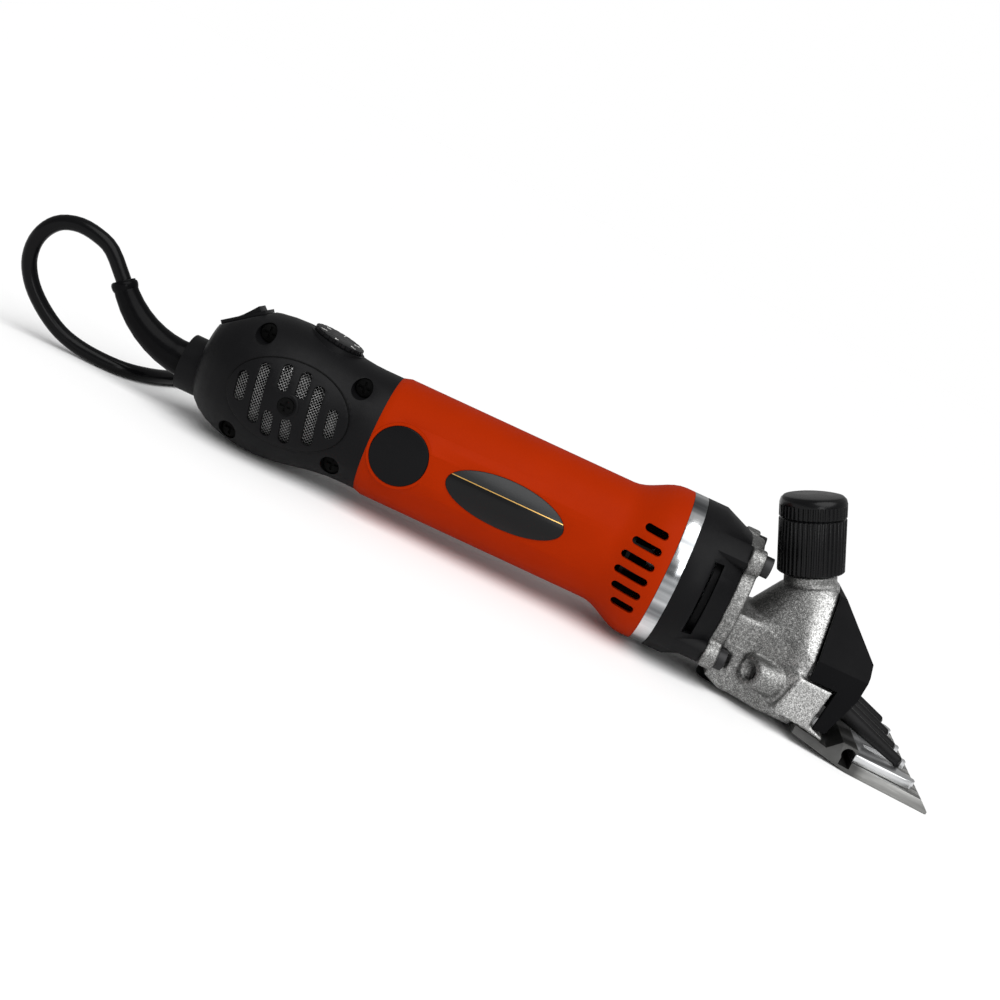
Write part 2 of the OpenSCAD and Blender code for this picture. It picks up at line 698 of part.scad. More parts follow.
// Head casting: flange, body, neck, collar and comb bed
collar_neck_r = 11.8;
collar_top_r = 10.4;
collar_len = 5;
body_front = 69;
body_low = -31.8;
body_top = 1;
cheek_half_w = 27;
neck_a = (body_front - flange_x - 4) / 2;
module head_body() intersection() {
    side_prism([[flange_x - 1, body_low + 3], [flange_x + 6, body_low], [body_front, body_low], [body_front, body_top - 7],
                [body_front - 4, body_top], [flange_x + 4, body_top], [flange_x - 1, body_top - 3]], 40);
    linear_extrude(200, center = true)
        polygon([for (side = [-1, 1], i = [0:3])
            let (p = [[flange_x - 2, 18], [flange_x + 11, 18.5], [flange_x + 24, head_half_w], [body_front + 1, cheek_half_w]][side < 0 ? i : 3 - i])
            [p[0], side * p[1]]]);
    rotate([90, 0, 90]) linear_extrude(200)
        polygon([for (side = [1, -1]) let (p = [[cheek_half_w - 4, body_low], [cheek_half_w, body_low + 5],
                 [head_half_w, body_top - 9], [20, body_top - 3], [12, body_top]])
                 each [for (i = [0:4]) let (q = p[side > 0 ? i : 4 - i]) [side * q[0], q[1]]]]);
}
module head_neck() hull() {
    translate([flange_x + 4 + neck_a, 0, body_top - 2]) linear_extrude(1)
        polygon([for (i = [0:23]) [neck_a * cos(i * 15), 19 * sin(i * 15)]]);
    knob_frame() translate([0, 0, -collar_len - 1]) cylinder(h = 1, r = collar_neck_r, $fn = 24);
    translate([cover_x - 3, 0, 0]) rotate([90, 0, 90]) linear_extrude(2.9)
        polygon([[-28, -10], [28, -10], [28, -4], [13, 18], [-13, 18], [-28, -4]]);
}
bed_top = 24;
bed_front = 77;
toe_x = 82;
// Half width of the room that the fork swings in
fork_room = 14.5;
fork_room_z = [9.5, 27.5];
stem_r = 7;
tunnel_r = 6.2;
tunnel_x = flange_x + 12;
tunnel_y = 21;
tunnel_z = -18.6;

module head_casting() color("#a8a9a8") difference() {
    union() {
        on_axis() {
            rod(case_x, flange_x, case_front_r - 0.4);
            bolt_rods(case_x, flange_x, column_r + 0.4);
            head_body();
            head_neck();
            for (side = [-1, 1]) rod(tunnel_x, tunnel_x + 16, tunnel_r, y = side * tunnel_y, z = tunnel_z);
            knob_frame() translate([0, 0, -collar_len - 1.3]) cylinder(h = collar_len + 0.7, r = collar_top_r);
        }
        on_floor() side_prism([[59.5, bed_z(59.5)], [63.5, bed_top], [bed_front, bed_top], [bed_front - 2, 9],
                               [toe_x, 6.4], [toe_x, bed_z(toe_x)]], bed_half_w);
    }
    on_axis() {
        bolt_rods(case_x - 1, flange_x + 1, bolt_r + bolt_clear);
        bolt_rods(flange_x, flange_x + bolt_head_len + 2, bolt_head_r + 0.3);
        rod(case_x - 1, flange_x + 1, crank_bearing_r, z = crank_z);
        rod(flange_x, crank_pin_x + crank_pin_len + 1, roller_r + crank_throw + 0.6, z = crank_z);
        for (side = [-1, 1]) rod(tunnel_x - 3, tunnel_x + 9, 3.6, y = side * tunnel_y, z = tunnel_z);
        knob_frame() {
            translate([0, 0, -22]) cylinder(h = 40, r = stem_r + fit);
            translate([0, 0, -pin_reach - 4]) cylinder(h = pin_reach, r = pin_tip_r + 1);
        }
        oil_plug_shape();
    }
    on_floor() {
        translate([0, 0, fork_room_z[0]]) linear_extrude(fork_room_z[1] - fork_room_z[0])
            polygon([[flange_x + 7, -fork_room], [67, -fork_room], [bed_front + 1, -bed_half_w + 2.5],
                     [toe_x + 5, -bed_half_w + 2.5], [toe_x + 5, bed_half_w - 2.5], [bed_front + 1, bed_half_w - 2.5],
                     [67, fork_room], [flange_x + 7, fork_room]]);
        translate([pivot_x, 0, 0]) cylinder(h = 20, r = post_r);
        comb_screw_frame() translate([0, 0, -6]) cylinder(h = 15, r = comb_screw_r);
    }
}

plug_x = 38;
module oil_plug_shape() translate([plug_x, 0, -33.8]) cylinder(h = 5.4, r = 6.8);
module oil_plug() color("#161618") on_axis() oil_plug_shape();

// Tension pin and knob
pin_r = 3.5;
pin_neck_r = 2.4;
pin_top = 9;
module tension_pin() color("#b4b7ba") on_axis() knob_frame() {
    translate([0, 0, -pin_reach]) sphere(r = pin_tip_r);
    translate([0, 0, -pin_reach]) cylinder(h = pin_reach - 12, r = pin_neck_r);
    translate([0, 0, -12]) cylinder(h = 12 + pin_top, r = pin_r);
}
cap_edge = 3;
groove_at = 8.8;
stem_len = 11;
module tension_knob() color("#1e1e20") on_axis() knob_frame() difference() {
    union() {
        rotate_extrude() polygon([[0, 0], [knob_r - 0.6, 0], [knob_r, 0.6], [knob_r, knob_h - groove_at - 0.6],
            [knob_r - 0.9, knob_h - groove_at], [knob_r, knob_h - groove_at + 0.6], [knob_r, knob_h - cap_edge],
            [knob_r - 0.5, knob_h - 0.45 * cap_edge], [knob_r - 1.6, knob_h - 0.1 * cap_edge], [knob_r - 3, knob_h], [0, knob_h]]);
        translate([0, 0, -stem_len]) cylinder(h = stem_len + 1, r = stem_r);
    }
    translate([0, 0, -stem_len - 1]) cylinder(h = stem_len + 1 + pin_top + fit, r = pin_r + fit);
    for (i = [0:knob_ribs - 1]) rotate(i * 360 / knob_ribs) translate([knob_r + 0.35, 0, -1])
        cylinder(h = knob_h - cap_edge + 0.4, r = 0.75);
}

// Nose cover: a shell open below and to the rear
cover_wall = 2;
cover_x = 66.5;
function cover_side(i) = [[cover_x, 21 - i], [69, 21 - i], [86.4 - i, 4.4 - i], [86.9 - i, 0], [86.3 - i, -10], [80.8, -27],
                          [76, -27], [77.8, -10], [cover_x, -10]];
function cover_front(i) = [[-bed_half_w + i, -28], [bed_half_w - i, -28], [bed_half_w - i, -2], [14 - i, 21 - i],
                           [i - 14, 21 - i], [i - bed_half_w, -2]];
module cover_solid(i) intersection() {
    side_prism(cover_side(i), 60);
    translate([cover_x - 1, 0, 0]) rotate([90, 0, 90]) linear_extrude(40) polygon(cover_front(i));
}
module nose_cover() color("#29292b") on_axis() difference() {
    cover_solid(0);
    intersection() {
        translate([cover_x - 1, -60, -30]) cube([40, 120, 80]);
        translate([-0.01, 0, 0]) cover_solid(cover_wall);
    }
    translate([cover_x - 1, -bed_half_w + cover_wall, -60]) cube([30, 2 * (bed_half_w - cover_wall), 48]);
    head_neck();
}

// Fork, fulcrum post and cutter swing on the pivot; the comb is fixed
post_r = 4;
hub_r = 9;
hub_z = pivot_z - 8.6;
// The hub stops short of the pin's middle, so that the pin can rise out of its cup
cup_drop = 0.8;
fork_tail_x = crank_pin_x + crank_pin_len + 1.2;
function prong_y(i) = (i - 1.5) * (prong_spread - 1.3);
function prong_tip_y(i) = (i - 1.5) * prong_spread;
module between(a, b, r1, r2) let (d = b - a, l = norm(d))
    translate(a) rotate([0, acos(d[2] / l), atan2(d[1], d[0])]) cylinder(h = l, r1 = r1, r2 = r2);

module fork() color("#2e2f31") on_floor() difference() {
    union() {
        translate([pivot_x, 0, hub_z]) cylinder(h = pivot_z - cup_drop - hub_z, r = hub_r);
        translate([fork_tail_x, -6, prong_root_z - 2.5]) cube([pivot_x - fork_tail_x, 12, 5]);
        translate([0, 0, prong_root_z - 3]) linear_extrude(6)
            polygon([[pivot_x, -6], [prong_root_x, prong_y(0) - 3.2], [prong_root_x + 2, prong_y(0) - 3.2],
                     [prong_root_x + 2, prong_y(3) + 3.2], [prong_root_x, prong_y(3) + 3.2], [pivot_x, 6]]);
        for (i = [0:3]) {
            between([prong_root_x, prong_y(i), prong_root_z], [prong_tip_x, prong_tip_y(i), prong_tip_z], prong_root_r, prong_tip_r);
            translate([prong_tip_x, prong_tip_y(i), cutter_top]) cylinder(h = prong_tip_z - cutter_top + 1, r = 1.2);
        }
    }
    translate([pivot_x, 0, pivot_z]) sphere(r = pin_tip_r + 0.1);
    translate([pivot_x, 0, hub_z - 0.5]) sphere(r = pin_tip_r + 0.1);
}
module fulcrum_post() color("#8c8f93") on_floor() {
    translate([pivot_x, 0, bed_z(pivot_x)]) cylinder(h = fork_room_z[0] - bed_z(pivot_x) + 1, r = post_r);
    translate([pivot_x, 0, bed_z(pivot_x)]) cylinder(h = hub_z - 0.5 - bed_z(pivot_x), r = pin_tip_r - 0.4);
    translate([pivot_x, 0, hub_z - 0.5]) sphere(r = pin_tip_r);
}

cutter_rear = 95;
cutter_tip = comb_tip_x - 7;
cutter_half_w = 34;
// One side of the cutter's outline, from the middle: an inner tooth, then an outer one with a straight side
cutter_side = let (root = cutter_rear + 6, a = prong_tip_y(2), b = prong_tip_y(3))
    [[root, a - 6.5], [cutter_tip, a - 1.3], [cutter_tip, a + 1.3], [root, a + 6.5], [root, b - 6.5], [cutter_tip, b + 4],
     [cutter_tip, b + 6], [cutter_tip - 1.5, cutter_half_w - 1.3], [cutter_tip - 5, cutter_half_w], [cutter_rear, cutter_half_w]];
module cutter() color("#b9bcbf") on_floor() translate([0, 0, cutter_z]) linear_extrude(cutter_t)
    polygon(concat([for (i = [9:-1:0]) [cutter_side[i][0], -cutter_side[i][1]]], cutter_side));

comb_pitch = comb_w / comb_teeth;
gap_root_x = comb_bend_x + 8;
heel_half_w = bed_half_w;
// Keyhole groove between the ridge of the heel and the plate under the cutter
groove_x = comb_bend_x - 2;
groove_w = 4.4;
groove_r = 2.8;
groove_floor = 1.6;
groove_z = sole_t + 2;
ridge_top = groove_z + groove_r + 0.9;
module comb() color("#cdd0d3") on_floor() difference() {
    intersection() {
        side_prism([[comb_heel_x, heel_z(comb_heel_x)], [comb_bend_x, 0], [comb_tip_x, 0], [comb_tip_x, 1],
                    [comb_tip_x - 4, sole_t], [groove_x + groove_w / 2, sole_t], [groove_x + groove_w / 2, groove_floor],
                    [groove_x - groove_w / 2, groove_floor], [groove_x - groove_w / 2, groove_z], [groove_x + groove_r - 0.7, groove_z],
                    [groove_x + groove_r - 0.7, ridge_top], [groove_x - groove_r - 1.2, ridge_top],
                    [comb_bend_x - 10.5, bed_z(comb_bend_x - 10.5)], [comb_heel_x, bed_z(comb_heel_x)]], comb_w);
        linear_extrude(30, center = true)
            polygon([[comb_heel_x, -heel_half_w], [comb_bend_x, -comb_w / 2 + 2], [comb_tip_x, -comb_w / 2],
                     [comb_tip_x, comb_w / 2], [comb_bend_x, comb_w / 2 - 2], [comb_heel_x, heel_half_w]]);
    }
    for (i = [1:comb_teeth - 1]) translate([0, i * comb_pitch - comb_w / 2, -1]) linear_extrude(20)
        polygon([[gap_root_x, -1], [comb_tip_x + 1, -2.1], [comb_tip_x + 1, 2.1], [gap_root_x, 1]]);
    cross_rod(-comb_w, comb_w, groove_r, groove_x, groove_z);
    comb_screw_frame() translate([0, 0, -6]) cylinder(h = 15, r = comb_screw_r + clear);
}
comb_screw_x = 77.5;
comb_screw_y = 19;
comb_screw_r = 2.4;
module comb_screw_frame() for (side = [-1, 1])
    translate([comb_screw_x, side * comb_screw_y, heel_z(comb_screw_x)]) rotate([0, heel_slope, 0]) children();
module comb_screws() color("#7d8084") on_floor() comb_screw_frame() {
    translate([0, 0, -1.6]) cylinder(h = 1.6, r = 4.2);
    cylinder(h = comb_t + 5, r = comb_screw_r);
}

// Cord: free stretch, hank with its tie, tail and plug
cord_r = cord_d / 2;
tie_t = 0.8;
hank_z = cord_r + tie_t + 0.15;
hank_x = -119;
hank_y = 79;
hank_turns = 2 * hank_loops - 0.625;
loop_rings = 24;
function hank_fold(t) = hank_fold_r + hank_pitch * abs(hank_loops - t);
// The climb to the upper layer takes the half turn where the spiral turns back
function hank_lift(t) = let (f = min(1, max(0, (t - hank_loops + 0.3) / 0.5))) hank_pitch * (1 - cos(180 * f)) / 2;
function drawn_in(x) = hank_waist * (1 + cos(180 * x / (hank_run / 2))) / 2;
// Each turn starts in the middle of the rear fold: fold, far run, front fold, near run, fold
function hank_point(t) =
    let (r = hank_fold(t), h = hank_run / 2, s = t + 0.125 - floor(t + 0.125), q = floor(s * 4), f = s * 4 - q)
    let (x = q == 0 ? -h - r * sin(180 * f) : q == 1 ? -h + 2 * h * f : q == 2 ? h + r * sin(180 * f) : h - 2 * h * f,
         y = q == 0 ? -r * cos(180 * f) : q == 1 ? r - drawn_in(x) : q == 2 ? r * cos(180 * f) : drawn_in(x) - r)
    [hank_x + x, hank_y + y, hank_z + hank_lift(t)];
hank_path = concat(
    [hank_point(0) - [0, cord_d, 0]],
    [for (i = [0:hank_turns * loop_rings]) hank_point(i / loop_rings)],
    [hank_point(hank_turns) + [cord_d, 0, 0]]);
hank_start = hank_path[0];
hank_end = hank_path[len(hank_path) - 1];
hank_gap = min([for (i = [0:len(hank_path) - 1], j = [i + 8:1:len(hank_path) - 1])
    norm(hank_path[i] - hank_path[j])]) - cord_d;
echo(hank_gap = hank_gap, hank_start = hank_start, hank_end = hank_end);

boot_tip_tool = boot_points[8];
boot_tip = [floor_x(boot_tip_tool[0], boot_tip_tool[2]), 0, floor_z(boot_tip_tool[0], boot_tip_tool[2])];
echo(boot_tip = boot_tip, pivot_x = pivot_x, pivot_z = pivot_z, centre_x = centre_x, axis_h = axis_h);
// Points of the free stretch, from the boot over an arch to the floor and forward to the hank
cord_route = [[-251.3, 0, 47.9], [-258.7, 0, 50.8], [-267, 0.3, 51.4], [-274.5, 0.6, 49], [-279.5, 1, 44], [-282.5, 1.5, 37.4],
              [-282.4, 2, 30.3], [-280, 3, 24], [-275.4, 4, 17.8], [-268.7, 6, 11.5], [-261, 8, 6.6], [-252.5, 10, 3.9],
              [-242, 10.5, 3.2], [-232, 13.5, 3.2], [-224.5, 23.5, 3.2], [-219.5, 37, 3.2], [-216, 50, 3.4]];
module cord_free() color("#19191b") on_floor()
    let (p = concat([boot_tip], cord_route, [hank_start - [0, cord_d, 0], hank_start]))
    swept(p, [for (q = p) cord_r], 10, [-1, 1, 0]);
module cord_hank() color("#19191b") on_floor()
    swept(hank_path, [for (q = hank_path) cord_r], 6, [0, 0, 1]);

plug_pos = [-4, 102, plug_h / 2 - 2];
cord_tail_route = [[-46, 115, 11.1], [-37, 112.5, 11], [-28, 108, 10.8], [-19, 104, 10.6]];
module cord_tail() color("#19191b") on_floor()
    let (p = concat([hank_end, hank_end + [cord_d, 0, 0]], cord_tail_route, [plug_pos - [cord_d, 0, 0], plug_pos]))
    swept(p, [for (q = p) cord_r], 10, [0, 0, 1]);

tie_w = 14;
module cord_tie() color("#2a2a2c") on_floor() translate([hank_x, hank_y, 0])
    let (near = hank_fold(0.75) - hank_waist + cord_r + 0.4, far = hank_fold(0.25) - hank_waist + cord_r + 0.4,
         top = hank_z + hank_pitch + cord_r + 0.2)
    difference() {
        translate([-tie_w / 2, -near - tie_t, 0]) cube([tie_w, near + far + 2 * tie_t, top + tie_t]);
        translate([-tie_w, -near, tie_t]) cube([2 * tie_w, near + far, top - tie_t]);
    }

module plug_body() color("#1b1b1d") on_floor() translate(plug_pos) difference() {
    union() {
        translate([12, 0, 2 - plug_h / 2]) linear_extrude(plug_h)
            translate([plug_l / 2, 0]) intersection() {
                square([plug_l, plug_w], center = true);
                circle(d = 1.22 * plug_w);
            }
        rotate([0, 90, 0]) cylinder(h = 12, r1 = 5, r2 = 8);
    }
    for (side = [-1, 1]) translate([plug_l, side * pin_gap / 2, 0]) rotate([0, 90, 0]) cylinder(h = 20, d = pin_d - 0.8);
}
module plug_pins() color("#c9cbcd") on_floor() translate(plug_pos)
    for (side = [-1, 1]) translate([plug_l, side * pin_gap / 2, 0]) rotate([0, 90, 0]) {
        cylinder(h = 13, d = pin_d - 0.8);
        translate([0, 0, 12]) cylinder(h = pin_l - 2, d = pin_d);
        translate([0, 0, 12 + pin_l - 2]) sphere(d = pin_d);
    }

rear_housing_right();
rear_housing_left();
housing_screws();
filter_cover_right();
filter_cover_left();
filter_gauzes();
filter_screws();
switch_body();
switch_rocker();
speed_dial();
speed_board();
cord_boot();
cord_clamp();
motor_housing();
label_plate();
brush_caps();
brush_holders();
brushes();
brush_springs();
stator_core();
field_coils();
armature_shaft();
armature_core();
armature_windings();
commutator();
cooling_fan();
motor_bearings();
pinion();
crank_gear();
crank_shaft();
crank_roller();
crank_bearings();
bearing_plate();
gear_case();
flange_bolts();
head_casting();
oil_plug();
tension_pin();
tension_knob();
nose_cover();
fork();
fulcrum_post();
cutter();
comb();
comb_screws();
cord_free();
cord_hank();
cord_tail();
cord_tie();
plug_body();
plug_pins();
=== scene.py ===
"""Dresses the electric sheep shears: finishes, rounded castings, cord, controls and studio."""
import bmesh
import bpy
import json
import math
from mathutils import Matrix, Vector


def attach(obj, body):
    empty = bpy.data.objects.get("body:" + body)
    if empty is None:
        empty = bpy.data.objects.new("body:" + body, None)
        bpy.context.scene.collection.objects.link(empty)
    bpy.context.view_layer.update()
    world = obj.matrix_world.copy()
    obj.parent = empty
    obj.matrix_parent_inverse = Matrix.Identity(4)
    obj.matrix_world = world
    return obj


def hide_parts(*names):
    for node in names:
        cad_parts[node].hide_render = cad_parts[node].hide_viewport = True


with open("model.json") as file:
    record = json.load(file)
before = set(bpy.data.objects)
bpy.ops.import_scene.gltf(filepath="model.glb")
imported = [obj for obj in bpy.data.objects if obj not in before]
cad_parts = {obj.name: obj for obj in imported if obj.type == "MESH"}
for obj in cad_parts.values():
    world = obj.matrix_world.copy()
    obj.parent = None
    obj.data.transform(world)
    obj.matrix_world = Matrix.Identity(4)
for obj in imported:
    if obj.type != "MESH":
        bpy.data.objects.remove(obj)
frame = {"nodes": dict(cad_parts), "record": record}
NODES = frame["nodes"]
BODY_OF = {node: body for body, nodes in frame["record"]["behaviour"]["bodies"].items() for node in nodes}
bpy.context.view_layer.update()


# ---------------------------------------------------------------- measures
# Millimetres and degrees, in the tool's axis frame of the part's source: stations run from the rear
# face of the bearing plate, forward positive. The cord's points are in the source's floor frame.
TILT = math.radians(1.6)
AXIS_H = 33.169
CENTRE_X = -39.5323

BELLY = dict(x=-166.5, r=28.5, tail_x=-198.5, tail_r=13, waist_x=-131.5, joint_r=24.2)
DIAL = dict(x=-153.2, sunk=1.8, slope=8, r=10.7, t=1.8, seat=0.05, figures=6, figure=3.6, inset=3.1)
SWITCH = dict(x=-190, z=20, slope=36, pivot=0.6, swing=22, length=14.3, end=1.8, quarter=1.5, sign=3.4)
MARK = dict(lift=0.03, rise=0.04, detail=3)
FILTER = dict(x=-157.3, rim_a=24.4, rim_b=16.9, a=22.4, b=15.0, seat=1.29)
NET = dict(pitch=0.92, slant=0.72, wire=0.105, wave=0.1, sides=5)
GROOVE = dict(steps=96, sunk=0.05, r=0.4, detail=2)
BOSS_PROFILE = [(3.5, -0.5), (3.7, 0.35), (4.1, 0.55), (4.7, 0.45), (5.1, 0.05), (5.4, -0.6)]
LABEL_RULE = dict(low=2.72, middle=2.9, high=3.06)

# The head: its knob's bore, the blend of its body into the cheeks, and the tunnel on each side
KNOB_SEAT = dict(x=54.1, z=22.8, lean=24, bore=7.55, low=-14, high=2)
CHEEK_BLEND = dict(outline=[(54.5, 20), (54.5, 22.6), (63.2, 30.6), (63.2, 20)], low=-26.5, high=-10)
TUNNEL = dict(start=43, end=56.5, y=23.2, z=-18.6, r=6.2, bore=3.4, lead=4, depth=11)
TUNNEL_MOUTH = dict(outline=[(40, 19.4), (43, 19.8), (50.2, 30.5), (50.2, 33), (40, 33)], low=-26, high=-11)
# Painted shade: the near-black bar inside each tunnel's bore
TUNNEL_SHADE = dict(before=6.5, beyond=1, wider=0.4)
# Where its neck runs out into its body, as (edge, width over which the rubbing down fades in)
SHOULDER = dict(rear=(33, 4), front=(66, 3), low=(-14, 8), high=(17, 3), inside=(9, 4))
PRONG_ROOTS = dict(x=84, z=18.5, r=3.8, across=(-22.5, -7.5, 7.5, 22.5))

# The boot and its bead, as (radius over the tip's, height), and the cord from the boot to the plug
BOOT = dict(root_x=-206.5, root_z=-6.3, length=42, bend=56, tip_r=4.6)
BOOT_BEAD = [(-0.9, -0.2), (-0.1, -0.15), (0.5, -0.6), (0.75, -1.3), (0.75, -2.2), (0.6, -3.1),
             (0.2, -4.1), (-0.5, -4.6)]
CORD_R = 3.15
CORD_LEAD = 6.3
HANK = dict(x=-119, y=78.5, loops=3, fold=20, run=108, waist=7, pitch=7, z=CORD_R + 0.95, start=0.125,
            turns=5.375, steps=24, climb=(2.7, 0.5))
BOOT_TIP = (-242.384, 0, 39.046)
CORD_ROUTE = [(-251.3, 0, 47.9), (-258.7, 0, 50.8), (-267, 0.3, 51.4), (-274.5, 0.6, 49), (-279.5, 1, 44),
              (-282.1, 1.5, 37.4), (-282, 2, 30.3), (-279.8, 3, 24), (-275.4, 4, 17.8), (-268.7, 6, 11.5),
              (-261, 8, 6.6), (-252.5, 10, 3.9), (-242, 10.5, 3.2), (-232, 13.5, 3.2), (-224.5, 23.5, 3.2),
              (-219.5, 37, 3.2), (-216, 50, 3.4)]
TAIL_ROUTE = [(-46, 115, 11.1), (-37, 112.5, 11), (-28, 108, 10.8), (-19, 104, 10.6)]
PLUG_AT = (-4, 102, 10.5)


def floor_point(x, y, z):
    """A point of the source's floor frame, in metres."""
    return Vector(((x - CENTRE_X) / 1000, y / 1000, z / 1000))


def tool_turn(v):
    """A direction of the tool's axis frame, in the row frame."""
    c, s = math.cos(TILT), math.sin(TILT)
    return Vector((v[0] * c - v[2] * s, v[1], v[0] * s + v[2] * c))


def tool_point(x, y, z):
    """A point of the tool's axis frame, in metres."""
    p = tool_turn((x, y, z))
    return floor_point(p.x, p.y, p.z + AXIS_H)


def at(x, y, z):
    """A move in millimetres."""
    return Matrix.Translation(Vector((x, y, z)) / 1000)


def turned(degrees, axis):
    return Matrix.Rotation(math.radians(degrees), 4, axis)


def past(value, edge):
    """0 up to an edge of (start, width), 1 from a width beyond it."""
    start, width = edge
    return min(1, max(0, (value - start) / width))


def short_of(value, edge):
    """1 up to a width before an edge of (end, width), 0 from the edge on."""
    end, width = edge
    return min(1, max(0, (end - value) / width))


TOOL = at(-CENTRE_X, 0, AXIS_H) @ Matrix.Rotation(-TILT, 4, "Y")
DIAL_FRAME = TOOL @ at(DIAL["x"], 0, BELLY["r"] - DIAL["sunk"]) @ turned(DIAL["slope"], "Y")
ROCKER_FRAME = (TOOL @ at(SWITCH["x"], 0, SWITCH["z"]) @ turned(-SWITCH["slope"], "Y")
                @ at(0, 0, SWITCH["pivot"]) @ turned(-SWITCH["swing"] / 2, "Y"))
KNOB_FRAME = at(KNOB_SEAT["x"], 0, KNOB_SEAT["z"]) @ turned(-KNOB_SEAT["lean"], "Y")


def shown(name, data):
    """A new object in the scene."""
    obj = bpy.data.objects.new(name, data)
    bpy.context.scene.collection.objects.link(obj)
    return obj


# ---------------------------------------------------------------- camera
ROLL = math.radians(24.62)
ELEVATION = math.radians(11.74)
YAW = math.radians(1.37)
AIM = (-68.8, 0, -3.91)
DISTANCE = 583
SENSOR = 36
PIXELS_PER_MM = 2.5036
PICTURE = 1000


def place_camera():
    ce, se, cy, sy = math.cos(ELEVATION), math.sin(ELEVATION), math.cos(YAW), math.sin(YAW)
    back = tool_turn((sy * ce, -cy * ce, se))
    along = tool_turn((cy, sy, 0))
    upward = tool_turn((-sy * se, cy * se, ce))
    right = along * math.cos(ROLL) + upward * math.sin(ROLL)
    up = upward * math.cos(ROLL) - along * math.sin(ROLL)
    data = bpy.data.cameras.new("camera")
    data.sensor_width = SENSOR
    data.lens = SENSOR * PIXELS_PER_MM * DISTANCE / PICTURE
    data.clip_start = 0.01
    camera = shown("camera", data)
    turn = Matrix((right, up, back)).transposed().to_4x4()
    camera.matrix_world = Matrix.Translation(tool_point(*AIM) + back * (DISTANCE / 1000)) @ turn
    bpy.context.scene.camera = camera


place_camera()


# ---------------------------------------------------------------- shader maths
class Wire:
    """A shader output that takes part in Python sums."""

    def __init__(self, paint, socket):
        self.paint, self.socket = paint, socket

    def _sum(self, operation, a, b):
        return self.paint.add("ShaderNodeMath", {"operation": operation}, {0: a, 1: b})

    def __add__(self, other):
        return self._sum("ADD", self, other)

    def __radd__(self, other):
        return self._sum("ADD", other, self)

    def __sub__(self, other):
        return self._sum("SUBTRACT", self, other)

    def __rsub__(self, other):
        return self._sum("SUBTRACT", other, self)

    def __mul__(self, other):
        return self._sum("MULTIPLY", self, other)

    def __rmul__(self, other):
        return self._sum("MULTIPLY", other, self)

    def __truediv__(self, other):
        return self._sum("DIVIDE", self, other)

    def __gt__(self, other):
        return self._sum("GREATER_THAN", self, other)

    def __lt__(self, other):
        return self._sum("LESS_THAN", self, other)


class Paint:
    """One procedural material, with its shader and the object's coordinates at hand."""

    def __init__(self, name, **fixed):
        self.material = bpy.data.materials.new(name)
        self.material.use_nodes = True
        self.tree = self.material.node_tree
        self.shader = self.tree.nodes["Principled BSDF"]
        self.set(**fixed)
        self.place = self.add("ShaderNodeTexCoord", {}, {}, "Object")

    def add(self, kind, settings, inputs, output=0):
        node = self.tree.nodes.new(kind)
        for key, value in settings.items():
            setattr(node, key, value)
        for key, value in inputs.items():
            self.feed(node.inputs[key], value)
        return Wire(self, node.outputs[output])

    def feed(self, socket, value):
        """Links a wire to the socket or sets its constant; a colour gets its alpha."""
        if isinstance(value, Wire):
            self.tree.links.new(value.socket, socket)
        else:
            socket.default_value = (*value, 1) if socket.type == "RGBA" else value

    def set(self, **values):
        for key, value in values.items():
            self.feed(self.shader.inputs[key.replace("_", " ").title().replace("Ior", "IOR")], value)
        return self

    def noise(self, scale, detail=2.0, rough=0.5, where=None):
        return self.add("ShaderNodeTexNoise", {}, {"Vector": where or self.place, "Scale": scale,
                                                   "Detail": detail, "Roughness": rough})

    def bands(self, direction, scale, **inputs):
        return self.add("ShaderNodeTexWave", {"wave_type": "BANDS", "bands_direction": direction},
                        {"Vector": self.place, "Scale": scale, **inputs})

    def stretched(self, stretch, shift=(0, 0, 0)):
        return self.add("ShaderNodeMapping", {}, {"Vector": self.place, "Scale": stretch, "Location": shift})

    def blend(self, factor, a, b):
        return self.add("ShaderNodeMix", {"data_type": "RGBA"}, {0: factor, 6: a, 7: b}, 2)

    def ramp(self, value, *stops):
        """Colours at positions between 0 and 1."""
        shade = self.add("ShaderNodeValToRGB", {}, {"Fac": value})
        elements = shade.socket.node.color_ramp.elements
        while len(elements) < len(stops):
            elements.new(0.5)
        for element, (position, colour) in zip(elements, stops):
            element.position = position
            element.color = (*colour, 1)
        return shade

    def split(self):
        """The object's coordinates in millimetres, along and over the source's floor frame."""
        node = self.add("ShaderNodeSeparateXYZ", {}, {"Vector": self.place}).socket.node
        x, _, z = (Wire(self, socket) for socket in node.outputs)
        return x * 1000 + CENTRE_X, z * 1000

    def station(self):
        """The place along the tool's axis."""
        x, z = self.split()
        return x * math.cos(TILT) + (z - AXIS_H) * math.sin(TILT)

    def height(self):
        """The height over the tool's axis."""
        x, z = self.split()
        return (z - AXIS_H) * math.cos(TILT) - x * math.sin(TILT)

    def bump(self, height, strength, depth):
        return self.set(normal=self.add("ShaderNodeBump", {}, {"Height": height, "Strength": strength,
                                                               "Distance": depth}))


# ---------------------------------------------------------------- finishes
OFF, FULL = (0, 0, 0), (1, 1, 1)


def moulded(name, dark, light, rough, grain, depth, shine=0.085):
    """Moulded plastic: a fine spark-eroded grain, faint cloudiness and handling marks."""
    p = Paint(name, specular_ior_level=shine)
    cloud = p.noise(38, 4, 0.6)
    fine = p.noise(grain, 2, 0.6)
    handled = p.ramp(p.noise(120, 5, 0.7), (0.42, OFF), (0.72, FULL))
    p.set(base_color=p.blend(cloud, dark, light), roughness=rough + 0.14 * (fine - 0.5) - 0.1 * handled)
    return p.bump(fine, 0.35, depth)


